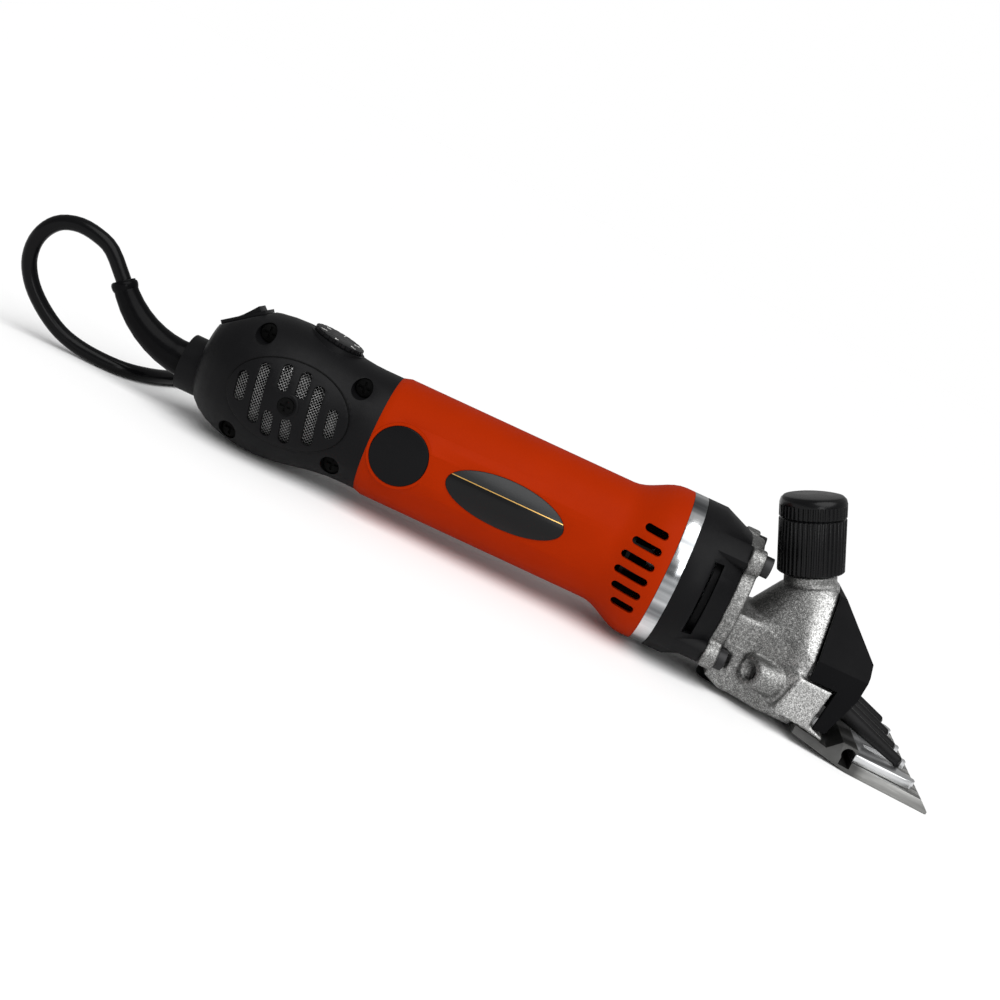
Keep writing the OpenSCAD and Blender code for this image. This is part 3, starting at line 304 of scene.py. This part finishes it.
def cast_metal(name):
    """Sand-cast aluminium: bright specks and dull hollows, with painted light making the cheeks at its front end
    brighter.
    """
    p = Paint(name, metallic=1.0)
    # Painted light: the cheeks at the front end get a brighter copy of the cast tone, standing for the light that
    # falls on them.
    cheek_light = p.ramp(p.station() / 100, (0.585, OFF), (0.625, FULL))
    grit = p.noise(2100, 2, 0.7)
    pits = p.noise(900, 4, 0.65)
    speck = grit * 0.65 + pits * 0.35
    lit_cheek_specks = p.ramp(speck, (0.37, (0.1, 0.1, 0.099)), (0.5, (0.4, 0.4, 0.393)), (0.62, (0.9, 0.9, 0.89)))
    dull = p.ramp(speck, (0.36, (0.055, 0.055, 0.054)), (0.5, (0.18, 0.18, 0.176)), (0.64, (0.5, 0.5, 0.49)))
    clouded = p.blend(p.noise(60, 3, 0.5) * 0.3, p.blend(cheek_light, dull, lit_cheek_specks), (0.2, 0.2, 0.196))
    p.set(base_color=clouded, roughness=0.36 + 0.2 * pits)
    return p.bump(grit * 0.6 + pits, 0.55, 0.00028)


def turned_metal(name, shade, rough, stretch, scale):
    """Bright metal with fine tool marks across the stretched direction."""
    p = Paint(name, metallic=1.0)
    marks = p.noise(scale, 2, 0.6, p.stretched(stretch))
    cloud = p.noise(70, 3, 0.5)
    p.set(base_color=p.blend(cloud, tuple(0.82 * c for c in shade), shade),
          roughness=rough + 0.16 * (marks - 0.5) + 0.08 * cloud)
    return p.bump(marks, 0.25, 0.00006)


def banded_metal(name):
    """A turned rim: painted reflections as streaks of light and dark that run along the axis, over fine tool
    marks round it.
    """
    p = Paint(name, metallic=1.0)
    # Painted reflection: light and dark streaks along the axis stand for the studio mirrored in the turned rim.
    painted_reflection_streaks = p.noise(1, 3, 0.55, p.stretched((6, 75, 75), shift=(0, 3.1, 0)))
    marks = p.noise(6, 2, 0.6, p.stretched((300, 4, 4)))
    p.set(base_color=p.ramp(painted_reflection_streaks, (0.34, (0.1, 0.105, 0.11)), (0.46, (0.36, 0.37, 0.38)),
                            (0.58, (0.8, 0.81, 0.82))),
          roughness=0.2 + 0.14 * (marks - 0.5))
    return p.bump(marks, 0.25, 0.00006)


def comb_steel(name):
    """Ground steel, with painted shade making it dark over the heel, and bright towards the teeth."""
    p = Paint(name, metallic=1.0)
    x, _ = p.split()
    marks = p.noise(9, 2, 0.6, p.stretched((6, 120, 120)))
    # Painted shade: the heel, a side face that lies in shade, is coloured darker than the ground steel towards
    # the teeth.
    heel_shade = p.ramp(x / 130, (0.745, FULL), (0.775, OFF))
    dull = p.blend(p.noise(160, 4, 0.6), (0.07, 0.07, 0.068), (0.14, 0.14, 0.137))
    ground = p.blend(marks, (0.17, 0.17, 0.166), (0.36, 0.36, 0.35))
    p.set(base_color=p.blend(heel_shade, ground, dull), roughness=0.3 + 0.16 * marks)
    return p.bump(marks, 0.25, 0.00006)


def dark_metal(name, dark, light, shine=0.5):
    p = Paint(name, metallic=0.6, specular_ior_level=shine)
    fine = p.noise(900, 3, 0.6)
    p.set(base_color=p.blend(fine, dark, light), roughness=0.38 + 0.16 * fine)
    return p.bump(fine, 0.3, 0.0001)


def rubber(name, shine):
    p = Paint(name, specular_ior_level=shine)
    fine = p.noise(700, 3, 0.6)
    p.set(base_color=p.blend(fine, (0.0022, 0.0022, 0.0025), (0.004, 0.004, 0.0044)),
          roughness=0.18 + 0.1 * fine)
    return p.bump(fine, 0.12, 0.00006)


def wound_copper(name):
    p = Paint(name, metallic=0.85)
    strands = p.bands("DIAGONAL", 420.0, Distortion=2.5, Detail=2.0)
    p.set(base_color=p.blend(strands, (0.22, 0.07, 0.025), (0.62, 0.26, 0.1)), roughness=0.32 + 0.2 * strands)
    return p.bump(strands, 0.5, 0.0003)


def laminated_steel(name):
    p = Paint(name, metallic=0.9)
    layers = p.bands("X", 300.0)
    p.set(base_color=p.blend(layers, (0.14, 0.14, 0.15), (0.3, 0.3, 0.31)),
          roughness=0.42 + 0.12 * p.noise(400))
    return p.bump(layers, 0.3, 0.0002)


def gauze_wire(name):
    p = Paint(name, metallic=0.9)
    dull = p.noise(500, 3, 0.6)
    return p.set(base_color=p.blend(dull, (0.1, 0.1, 0.1), (0.46, 0.46, 0.455)), roughness=0.28 + 0.2 * dull)


def printed_label(name):
    """A glossy dark oval with a gold rule, and a painted reflection making the face above the rule lighter."""
    p = Paint(name, specular_ior_level=0.2)
    height = p.height()
    rule = (height > LABEL_RULE["low"]) * (height < LABEL_RULE["high"])
    # Painted reflection: the black face is coloured lighter above the middle of the rule, for light mirrored in
    # the glossy label.
    face_and_reflection = p.blend(height > LABEL_RULE["middle"], (0.003, 0.003, 0.0033), (0.02, 0.021, 0.022))
    return p.set(base_color=p.blend(rule, face_and_reflection, (0.75, 0.45, 0.13)), metallic=rule * 0.6,
                 roughness=0.26 + 0.08 * p.noise(300))


def circuit_board(name):
    p = Paint(name)
    tracks = p.add("ShaderNodeTexBrick", {}, {"Vector": p.place, "Scale": 160.0, "Mortar Size": 0.08}, "Fac")
    return p.set(base_color=p.blend(tracks, (0.03, 0.16, 0.06), (0.07, 0.28, 0.11)),
                 roughness=0.4 + 0.15 * p.noise(300))


def woven_strap(name):
    p = Paint(name)
    cloth = p.bands("X", 500.0) * p.bands("Y", 420.0)
    p.set(base_color=p.blend(cloth, (0.015, 0.015, 0.016), (0.06, 0.06, 0.062)), roughness=0.75 + 0.15 * cloth)
    return p.bump(cloth, 0.6, 0.0003)


SOOT, SLATE = (0.0034, 0.0034, 0.0038), (0.0054, 0.0054, 0.006)
BLACK = moulded("moulded_black", SOOT, SLATE, rough=0.46, grain=2300, depth=0.0001)
BLACK_SMOOTH = moulded("smooth_black", SOOT, (0.0052, 0.0052, 0.0058), rough=0.38, grain=1500, depth=0.00004)
MATTE = moulded("matte_black", SOOT, SLATE, rough=0.52, grain=2300, depth=0.0001, shine=0.04)
KNOB = moulded("knob_black", (0.0022, 0.0022, 0.0025), SOOT, rough=0.28, grain=1500, depth=0.00003, shine=0.17)
ORANGE = moulded("orange_grip", (0.3, 0.0165, 0.0004), (0.352, 0.0205, 0.0006), rough=0.5, grain=2100,
                 depth=0.00006, shine=0.02)
WHITE = moulded("white_marks", (0.62, 0.62, 0.6), (0.72, 0.72, 0.7), rough=0.55, grain=1800, depth=0.00002)
CARBON = moulded("brush_carbon", (0.02, 0.02, 0.02), (0.045, 0.045, 0.045), rough=0.6, grain=900, depth=0.0001)
CAST = cast_metal("cast_head")
PLATE = banded_metal("turned_plate")
COMB = comb_steel("comb_steel")
STEEL = turned_metal("ground_steel", (0.72, 0.73, 0.74), rough=0.3, stretch=(6, 120, 120), scale=9)
BRASS = turned_metal("brass_holder", (0.7, 0.5, 0.2), rough=0.35, stretch=(80, 80, 80), scale=5)
DARK = dark_metal("blackened_steel", (0.011, 0.011, 0.0115), (0.026, 0.026, 0.027))
FORK = dark_metal("black_fork", (0.004, 0.004, 0.0042), (0.011, 0.011, 0.0115), shine=0.25)
# Painted shade: a near-black finish that darkens the screws to stand for the shade in their deep recesses, and
# colours the bars inside the tunnels and the tubes in the filter joints.
SHADE_BLACK = dark_metal("painted_shade_black", (0.002, 0.002, 0.002), (0.005, 0.005, 0.005), shine=0.1)
RUBBER = rubber("cord_rubber", shine=0.1)
BOOT_RUBBER = rubber("boot_rubber", shine=0.045)
COPPER = wound_copper("copper_wire")
CORE = laminated_steel("laminated_core")
GAUZE = gauze_wire("wire_gauze")
BOARD = circuit_board("circuit_board")
LABEL = printed_label("label_face")
FABRIC = woven_strap("woven_strap")


# ---------------------------------------------------------------- mesh helpers
SMOOTH_UP_TO = math.radians(40)
FLAT_UP_TO = math.radians(0.6)
SAME_POINT = 2e-6
SAME_PLACE = 1e-6
ROUND_STEPS = 40


def finish_piece(obj, body, paint, nodes=()):
    """Gives the piece its paint and body, and hides the CAD nodes that it stands for."""
    obj.data.materials.clear()
    obj.data.materials.append(paint.material)
    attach(obj, body)
    if nodes:
        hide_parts(*nodes)
    return obj


def paint_node(paint, *nodes):
    """Gives CAD nodes that keep their shape a finish."""
    for node in nodes:
        mesh = NODES[node].data
        mesh.materials.clear()
        mesh.materials.append(paint.material)


def mesh_of(bm, name):
    mesh = bpy.data.meshes.new(name)
    bm.to_mesh(mesh)
    bm.free()
    return mesh


def baked_mesh(obj):
    """The object's shape with its modifiers worked in."""
    bpy.context.view_layer.update()
    return bpy.data.meshes.new_from_object(obj.evaluated_get(bpy.context.evaluated_depsgraph_get()))


def baked(obj):
    """Turns the piece's modifiers into plain mesh."""
    mesh = baked_mesh(obj)
    obj.modifiers.clear()
    obj.data = mesh
    return obj


def smooth(obj):
    obj.data.polygons.foreach_set("use_smooth", [True] * len(obj.data.polygons))
    return obj


def smooth_by_angle(obj):
    smooth(obj).data.set_sharp_from_angle(angle=SMOOTH_UP_TO)
    return obj


def merged_copy(node, name):
    """A copy of a CAD node's mesh with its loose triangles joined and its flats made single faces."""
    bm = bmesh.new()
    bm.from_mesh(NODES[node].data)
    bmesh.ops.remove_doubles(bm, verts=bm.verts, dist=SAME_POINT)
    bmesh.ops.dissolve_limit(bm, angle_limit=FLAT_UP_TO, verts=bm.verts, edges=bm.edges)
    return shown(name, mesh_of(bm, name))


def softened(node, paint, width, angle, segments=2):
    """The CAD node with its edges rounded over."""
    obj = merged_copy(node, node + "_soft")
    bevel = obj.modifiers.new("round", "BEVEL")
    bevel.width = width / 1000
    bevel.segments = segments
    bevel.limit_method = "ANGLE"
    bevel.angle_limit = math.radians(angle)
    smooth_by_angle(baked(obj))
    return finish_piece(obj, BODY_OF[node], paint, [node])


def joined(name, meshes):
    bm = bmesh.new()
    for mesh in meshes:
        bm.from_mesh(mesh)
    bmesh.ops.remove_doubles(bm, verts=bm.verts, dist=SAME_PLACE)
    return shown(name, mesh_of(bm, name))


def ball(centre, radius):
    bm = bmesh.new()
    bmesh.ops.create_icosphere(bm, subdivisions=3, radius=radius / 1000, matrix=Matrix.Translation(centre))
    return mesh_of(bm, "ball")


def bar(place, start, end, radius):
    """A round bar along the Z of a place in the tool's frame."""
    bm = bmesh.new()
    bmesh.ops.create_cone(bm, cap_ends=True, segments=ROUND_STEPS, radius1=radius / 1000, radius2=radius / 1000,
                          depth=(end - start) / 1000, matrix=TOOL @ place @ at(0, 0, (start + end) / 2))
    return mesh_of(bm, "bar")


def lathe(name, profile, place):
    """A ring turned from (radius, height) points about its place's Z."""
    bm = bmesh.new()
    rings = []
    for k in range(ROUND_STEPS):
        a = 2 * math.pi * k / ROUND_STEPS
        points = (Vector((r * math.cos(a), r * math.sin(a), h)) / 1000 for r, h in profile)
        rings.append([bm.verts.new(place @ point) for point in points])
    for ring, after in zip(rings, rings[1:] + rings[:1]):
        for i in range(len(profile)):
            j = (i + 1) % len(profile)
            bm.faces.new((ring[i], after[i], after[j], ring[j]))
    bmesh.ops.recalc_face_normals(bm, faces=bm.faces)
    return smooth_by_angle(shown(name, mesh_of(bm, name)))


def voxelled(obj, voxel):
    remesh = obj.modifiers.new("cast", "REMESH")
    remesh.mode = "VOXEL"
    remesh.voxel_size = voxel / 1000
    return baked(obj)


def tumbled(obj, rounds, group=""):
    rub = obj.modifiers.new("tumble", "SMOOTH")
    rub.factor = 0.5
    rub.iterations = rounds
    rub.vertex_group = group
    return baked(obj)


def cut_away(obj, blocks):
    knife = joined("knife", blocks)
    opened = obj.modifiers.new("cut", "BOOLEAN")
    opened.operation = "DIFFERENCE"
    opened.solver = "EXACT"
    opened.object = knife
    baked(obj)
    bpy.data.objects.remove(knife)


def melted_down(obj, melt, rounds):
    """Rubs the casting down most where melt(x, y, z), in the tool's frame, nears 1."""
    group = obj.vertex_groups.new(name="melt")
    home = TOOL.inverted()
    for v in obj.data.vertices:
        weight = melt(*(1000 * (home @ v.co)))
        if weight > 0:
            group.add([v.index], weight, "REPLACE")
    tumbled(obj, rounds, "melt")
    obj.vertex_groups.clear()


def as_cast(node, paint, voxel, rounds, added, cuts=(), melt=None, melt_rounds=0):
    """The CAD node as a casting, with blends added and openings cut: edges rounded and corners filled."""
    rough = merged_copy(node, node + "_rough")
    obj = voxelled(joined(node + "_cast", [rough.data, *added]), voxel)
    bpy.data.objects.remove(rough)
    for blocks in cuts:
        cut_away(obj, blocks)
    if cuts:
        voxelled(obj, voxel)
    if melt:
        melted_down(obj, melt, melt_rounds)
    smooth(tumbled(obj, rounds))
    return finish_piece(obj, BODY_OF[node], paint, [node])


def round_line(name, line, radius, detail, closed=False):
    """A round tube along points."""
    curve = bpy.data.curves.new(name, "CURVE")
    curve.dimensions = "3D"
    curve.bevel_depth = radius / 1000
    curve.bevel_resolution = detail
    curve.use_fill_caps = not closed
    spline = curve.splines.new("POLY")
    spline.points.add(len(line) - 1)
    for point, q in zip(spline.points, line):
        point.co = (*q, 1)
    spline.use_cyclic_u = closed
    spline.use_smooth = True
    return shown(name, curve)


# ---------------------------------------------------------------- cord
def hank_point(t):
    """A point of the hank after so many turns: two straights, drawn in at the tie, and two folds."""
    h = HANK
    half = h["run"] / 2
    r = h["fold"] + h["pitch"] * abs(h["loops"] - t)
    s = (t + h["start"]) % 1.0
    q = int(s * 4)
    f = s * 4 - q
    out, over = r * math.sin(math.pi * f), r * math.cos(math.pi * f)
    x = (-half - out, -half + 2 * half * f, half + out, half - 2 * half * f)[q]
    drawn = h["waist"] * (1 + math.cos(math.pi * x / half)) / 2
    y = (-over, r - drawn, over, drawn - r)[q]
    climb = past(t, h["climb"])
    return (h["x"] + x, h["y"] + y, h["z"] + h["pitch"] * (1 - math.cos(math.pi * climb)) / 2)


def through(points, per_span):
    """A smooth curve through the points."""
    p = [Vector(q) for q in points]
    p = [2 * p[0] - p[1]] + p + [2 * p[-1] - p[-2]]
    line = []
    for i in range(1, len(p) - 2):
        a, b, c, d = p[i - 1:i + 3]
        for k in range(per_span):
            t = k / per_span
            line.append(0.5 * (2 * b + (c - a) * t + (2 * a - 5 * b + 4 * c - d) * t * t
                               + (3 * b - a - 3 * c + d) * t ** 3))
    return line + [p[-2]]


def boot_lip():
    """The bead round the boot's open end."""
    b = BOOT
    turn = math.radians(b["bend"])
    radius = b["length"] / turn
    tip = at(b["root_x"] - radius * math.sin(turn), 0, b["root_z"] + radius * (1 - math.cos(turn)))
    profile = [(b["tip_r"] + out, h) for out, h in BOOT_BEAD]
    rim = lathe("boot_lip", profile, TOOL @ tip @ turned(b["bend"] - 90, "Y"))
    return finish_piece(rim, "handle", BOOT_RUBBER)


def cord_line():
    """The cord's middle from the boot's tip to the plug, with a short straight lead into the hank, out of
    it and into the plug."""
    steps = HANK["steps"]
    turns = [hank_point(i / steps) for i in range(int(HANK["turns"] * steps) + 1)]
    lead_in = (turns[0][0], turns[0][1] - CORD_LEAD, turns[0][2])
    lead_out = (turns[-1][0] + CORD_LEAD, turns[-1][1], turns[-1][2])
    plug_lead = (PLUG_AT[0] - CORD_LEAD, PLUG_AT[1], PLUG_AT[2])
    points = [BOOT_TIP, *CORD_ROUTE, lead_in, *turns, lead_out, *TAIL_ROUTE, plug_lead, PLUG_AT]
    return [floor_point(*q) for q in through(points, per_span=3)]


def make_cord():
    line = cord_line()
    cord = round_line("mains_cord", line, CORD_R, detail=5)
    finish_piece(cord, "handle", RUBBER, ["cord_free", "cord_hank", "cord_tail"])
    plug = softened("plug_body", BLACK_SMOOTH, 2.2, 30, 3)
    tie = softened("cord_tie", FABRIC, 0.3, 30)
    boot = softened("cord_boot", BOOT_RUBBER, 0.4, 50)
    paint_node(STEEL, "plug_pins")
    boot_lip()


make_cord()


# ---------------------------------------------------------------- wire gauze behind the filter covers
def belly_radius(x):
    """Radius of the rear housing at a station of the axis."""
    b = BELLY
    if x < b["x"]:
        a = math.acos((b["x"] - x) / (b["x"] - b["tail_x"]))
        return b["tail_r"] + (b["r"] - b["tail_r"]) * math.sin(a)
    a = math.pi * (x - b["x"]) / (b["waist_x"] - b["x"])
    return b["joint_r"] + (b["r"] - b["joint_r"]) * (1 + math.cos(a)) / 2


def wire_tree():
    """Geometry nodes that turn the edges of a net into round wires."""
    tree = bpy.data.node_groups.new("gauze_wires", "GeometryNodeTree")
    tree.interface.new_socket("Net", in_out="INPUT", socket_type="NodeSocketGeometry")
    radius = tree.interface.new_socket("Wire Radius", in_out="INPUT", socket_type="NodeSocketFloat")
    finish = tree.interface.new_socket("Finish", in_out="INPUT", socket_type="NodeSocketMaterial")
    tree.interface.new_socket("Wires", in_out="OUTPUT", socket_type="NodeSocketGeometry")

    def node(kind, **links):
        n = tree.nodes.new(kind)
        for key, value in links.items():
            target = n.inputs[key.replace("_", " ")]
            if hasattr(value, "is_output"):
                tree.links.new(value, target)
            else:
                target.default_value = value
        return n

    given = node("NodeGroupInput")
    lines = node("GeometryNodeMeshToCurve", Mesh=given.outputs["Net"])
    ring = node("GeometryNodeCurvePrimitiveCircle", Resolution=NET["sides"], Radius=given.outputs["Wire Radius"])
    wires = node("GeometryNodeCurveToMesh", Curve=lines.outputs["Curve"], Profile_Curve=ring.outputs["Curve"])
    real = node("GeometryNodeRealizeInstances", Geometry=wires.outputs["Mesh"])
    painted = node("GeometryNodeSetMaterial", Geometry=real.outputs["Geometry"], Material=given.outputs["Finish"])
    node("NodeGroupOutput", Wires=painted.outputs["Geometry"])
    return tree, radius.identifier, finish.identifier


def gauze_net():
    """The crossings of the wires, on the left and the right, and the wires between them."""
    f = FILTER
    pitch, slant = NET["pitch"], NET["slant"]
    reach = int(f["a"] / pitch) + 2
    points, edges, index = [], [], {}
    for side in (-1, 1):
        for i in range(-reach, reach + 1):
            for j in range(-reach, reach + 1):
                u, v = (i + j) * pitch * slant, (i - j) * pitch * slant
                if (u / f["a"]) ** 2 + (v / f["b"]) ** 2 > 1:
                    continue
                x = f["x"] + u
                r = belly_radius(x) - f["seat"] + (NET["wave"] if (i + j) % 2 else -NET["wave"])
                index[side, i, j] = len(points)
                points.append(tool_point(x, side * math.sqrt(r * r - v * v), v))
    for (side, i, j), a in index.items():
        edges += [(a, index[n]) for n in ((side, i + 1, j), (side, i, j + 1)) if n in index]
    return points, edges


def weave_gauzes():
    mesh = bpy.data.meshes.new("filter_gauzes_woven")
    mesh.from_pydata(*gauze_net(), [])
    gauze = shown("filter_gauzes_woven", mesh)
    tree, radius, finish = wire_tree()
    weave = gauze.modifiers.new("weave", "NODES")
    weave.node_group = tree
    weave[radius] = NET["wire"] / 1000
    weave[finish] = GAUZE.material
    finish_piece(baked(gauze), "handle", GAUZE, ["filter_gauzes"])


# ---------------------------------------------------------------- marks, bosses and grooves
COVERS = ((-1, "right"), (1, "left"))


def mark(name, text, size, place):
    """A raised figure or sign, as mesh in its place."""
    curve = bpy.data.curves.new(name, "FONT")
    curve.body = text
    curve.size = size / 1000
    curve.align_x = "CENTER"
    curve.align_y = "CENTER"
    curve.extrude = MARK["rise"] / 1000
    curve.resolution_u = MARK["detail"]
    letters = shown(name, curve)
    mesh = baked_mesh(letters)
    bpy.data.objects.remove(letters)
    mesh.transform(place)
    return mesh


def mark_dial():
    d = DIAL
    face = DIAL_FRAME @ at(0, 0, d["seat"] + d["t"] + MARK["lift"])
    figures = []
    for i in range(d["figures"]):
        spot = face @ turned(-360 / d["figures"] * i, "Z") @ at(0, d["r"] - d["inset"], 0)
        figures.append(mark("figure", str(i + 1), d["figure"], spot))
    finish_piece(joined("dial_numbers", figures), "speed_dial", WHITE)


def mark_rocker():
    s = SWITCH
    quarter, rise = s["length"] / 4, s["end"] - s["quarter"]
    tip = math.degrees(math.atan2(rise, quarter))
    signs = []
    for side, sign in ((1, "I"), (-1, "O")):
        middle = at(side * 1.5 * quarter, 0, s["quarter"] + rise / 2 + MARK["lift"])
        spot = middle @ turned(-side * tip, "Y") @ turned(90, "Z")
        signs.append(mark("sign", sign, s["sign"], ROCKER_FRAME @ spot))
    finish_piece(joined("rocker_signs", signs), "switch_rocker", WHITE)


def filter_bosses():
    """Raised rims round the screws that hold the filter covers."""
    crown = belly_radius(FILTER["x"])
    for side, name in COVERS:
        place = TOOL @ at(FILTER["x"], side * crown, 0) @ turned(-side * 90, "X")
        rim = lathe("filter_boss_" + name, BOSS_PROFILE, place)
        finish_piece(rim, "handle", BLACK)


def filter_grooves():
    """A near-black tube in the joint round each filter cover: painted shade of the gap."""
    f, g = FILTER, GROOVE
    for side, name in COVERS:
        line = []
        for i in range(g["steps"]):
            a = 2 * math.pi * i / g["steps"]
            x, z = f["x"] + f["rim_a"] * math.cos(a), f["rim_b"] * math.sin(a)
            line.append(tool_point(x, side * math.sqrt((belly_radius(x) - g["sunk"]) ** 2 - z * z), z))
        groove = round_line("filter_groove_" + name, line, g["r"], g["detail"], closed=True)
        finish_piece(groove, "handle", SHADE_BLACK)


# ---------------------------------------------------------------- castings
def both_sides(block, *shape):
    """The same block on the right and on the left of the tool."""
    return [block(side, *shape) for side in (-1, 1)]


def plan_block(side, plan):
    """A closed block from a plan outline, in the tool's frame."""
    bm = bmesh.new()
    base, top = ([bm.verts.new(TOOL @ (Vector((x, side * y, z)) / 1000)) for x, y in plan["outline"]]
                 for z in (plan["low"], plan["high"]))
    walls = list(zip(base, base[1:] + base[:1], top[1:] + top[:1], top))
    for face in [base, top] + walls:
        bm.faces.new(face)
    bmesh.ops.recalc_face_normals(bm, faces=bm.faces)
    return mesh_of(bm, "block")


def tunnel_bar(side, start, end, radius):
    return bar(at(0, side * TUNNEL["y"], TUNNEL["z"]) @ turned(90, "Y"), start, end, radius)


def tunnel_end(side):
    return ball(tool_point(TUNNEL["end"], side * TUNNEL["y"], TUNNEL["z"]), TUNNEL["r"])


def shoulder(x, y, z):
    """How much the head is rubbed down at a point, from 0 to 1."""
    s = SHOULDER
    return (past(x, s["rear"]) * short_of(x, s["front"]) * past(z, s["low"]) * short_of(z, s["high"])
            * past(abs(y), s["inside"]))


def cast_head():
    """The head with its cheeks blended in, a tunnel on each side with painted shade inside (a near-black bar in
    its bore), and the knob's bore.
    """
    t, k, s = TUNNEL, KNOB_SEAT, TUNNEL_SHADE
    bore_end = t["start"] + t["depth"]
    added = (both_sides(plan_block, CHEEK_BLEND) + both_sides(tunnel_bar, t["start"], t["end"], t["r"])
             + both_sides(tunnel_end))
    cuts = [both_sides(plan_block, TUNNEL_MOUTH),
            both_sides(tunnel_bar, t["start"] - t["lead"], bore_end, t["bore"]),
            [bar(KNOB_FRAME, k["low"], k["high"], k["bore"])]]
    as_cast("head_casting", CAST, voxel=0.6, rounds=5, added=added, cuts=cuts, melt=shoulder, melt_rounds=55)
    # Painted shade: a near-black bar in each bore darkens the tunnel's inside.
    bars = both_sides(tunnel_bar, bore_end - s["before"], bore_end + s["beyond"], t["bore"] + s["wider"])
    finish_piece(joined("tunnel_shade", bars), BODY_OF["head_casting"], SHADE_BLACK)


def cast_fork():
    """The fork with round roots to its prongs."""
    p = PRONG_ROOTS
    roots = [ball(floor_point(p["x"], y, p["z"]), p["r"]) for y in p["across"]]
    as_cast("fork", FORK, voxel=0.5, rounds=4, added=roots)


# ---------------------------------------------------------------- pieces
# Node, paint, width of the rounded edges, the least angle of an edge that is rounded, segments
ROUNDED = (
    ("rear_housing_right", BLACK, 0.5, 36, 2),
    ("rear_housing_left", BLACK, 0.5, 36, 2),
    ("filter_cover_right", BLACK, 0.6, 36, 2),
    ("filter_cover_left", BLACK, 0.6, 36, 2),
    ("motor_housing", ORANGE, 0.45, 30, 2),
    ("gear_case", BLACK, 0.7, 30, 3),
    ("nose_cover", MATTE, 1.4, 20, 4),
    ("brush_caps", BLACK_SMOOTH, 0.4, 30, 3),
    ("bearing_plate", PLATE, 0.35, 30, 2),
    ("oil_plug", BLACK_SMOOTH, 0.8, 30, 3),
    ("switch_body", BLACK_SMOOTH, 0.4, 30, 2),
    ("switch_rocker", BLACK_SMOOTH, 0.4, 30, 3),
    ("speed_dial", BLACK_SMOOTH, 0.3, 30, 2),
    ("tension_knob", KNOB, 0.25, 30, 2),
    ("flange_bolts", DARK, 1.1, 30, 4),
    ("comb", COMB, 0.3, 25, 2),
    ("cutter", STEEL, 0.4, 25, 2),
    ("label_plate", LABEL, 0.12, 30, 2),
)
for piece in ROUNDED:
    softened(*piece)
cast_head()
cast_fork()
weave_gauzes()
filter_bosses()
filter_grooves()
mark_dial()
mark_rocker()
# The screws are painted near-black: painted shade for their deep recesses.
paint_node(SHADE_BLACK, "housing_screws", "filter_screws")
paint_node(STEEL, "armature_shaft", "motor_bearings", "crank_bearings", "pinion", "crank_gear", "crank_shaft",
           "crank_roller", "tension_pin", "fulcrum_post", "comb_screws", "brush_springs")
paint_node(CORE, "stator_core", "armature_core")
paint_node(COPPER, "field_coils", "armature_windings", "commutator")
paint_node(BRASS, "brush_holders")
paint_node(CARBON, "brushes")
paint_node(BOARD, "speed_board")
paint_node(BLACK_SMOOTH, "cooling_fan", "cord_clamp")


# ---------------------------------------------------------------- studio
# Metres. The room's light on the object is dimmer than the white that the camera sees behind it.
FLOOR = dict(half=20, drop=0.0002, shade=(0.93, 0.93, 0.93))
ROOM = 0.35
BACKDROP = 1.0
LIGHT_AIM = Vector((-0.03, 0, 0.03))
# Name, kind, place, angle in degrees or size, power
LIGHTS = (
    ("sun", "SUN", (0.4, -1.3, 2.2), 60, 2.7),
    ("key", "AREA", (0.35, -0.9, 0.3), 0.3, 1.6),
)


def lay_floor():
    half, z = FLOOR["half"], -FLOOR["drop"]
    mesh = bpy.data.meshes.new("floor")
    mesh.from_pydata([(-half, -half, z), (half, -half, z), (half, half, z), (-half, half, z)], [], [(0, 1, 2, 3)])
    paint = Paint("pale_floor", roughness=1.0, specular_ior_level=0.0, base_color=FLOOR["shade"])
    mesh.materials.append(paint.material)
    shown("floor", mesh)


def light_room():
    world = bpy.data.worlds.new("studio")
    world.use_nodes = True
    tree = world.node_tree
    seen = tree.nodes.new("ShaderNodeLightPath")
    level = tree.nodes.new("ShaderNodeMapRange")
    level.inputs["To Min"].default_value = ROOM
    level.inputs["To Max"].default_value = BACKDROP
    tree.links.new(seen.outputs["Is Camera Ray"], level.inputs["Value"])
    tree.links.new(level.outputs["Result"], tree.nodes["Background"].inputs["Strength"])
    tree.nodes["Background"].inputs["Color"].default_value = (1, 1, 1, 1)
    bpy.context.scene.world = world
    bpy.context.scene.view_settings.view_transform = "Standard"


def place_lights():
    for name, kind, place, size, power in LIGHTS:
        data = bpy.data.lights.new(name, kind)
        data.energy = power
        if kind == "AREA":
            data.size = size
        else:
            data.angle = math.radians(size)
        turn = (Vector(place) - LIGHT_AIM).to_track_quat("Z", "Y").to_matrix().to_4x4()
        shown(name, data).matrix_world = Matrix.Translation(Vector(place)) @ turn


lay_floor()
light_room()
place_lights()
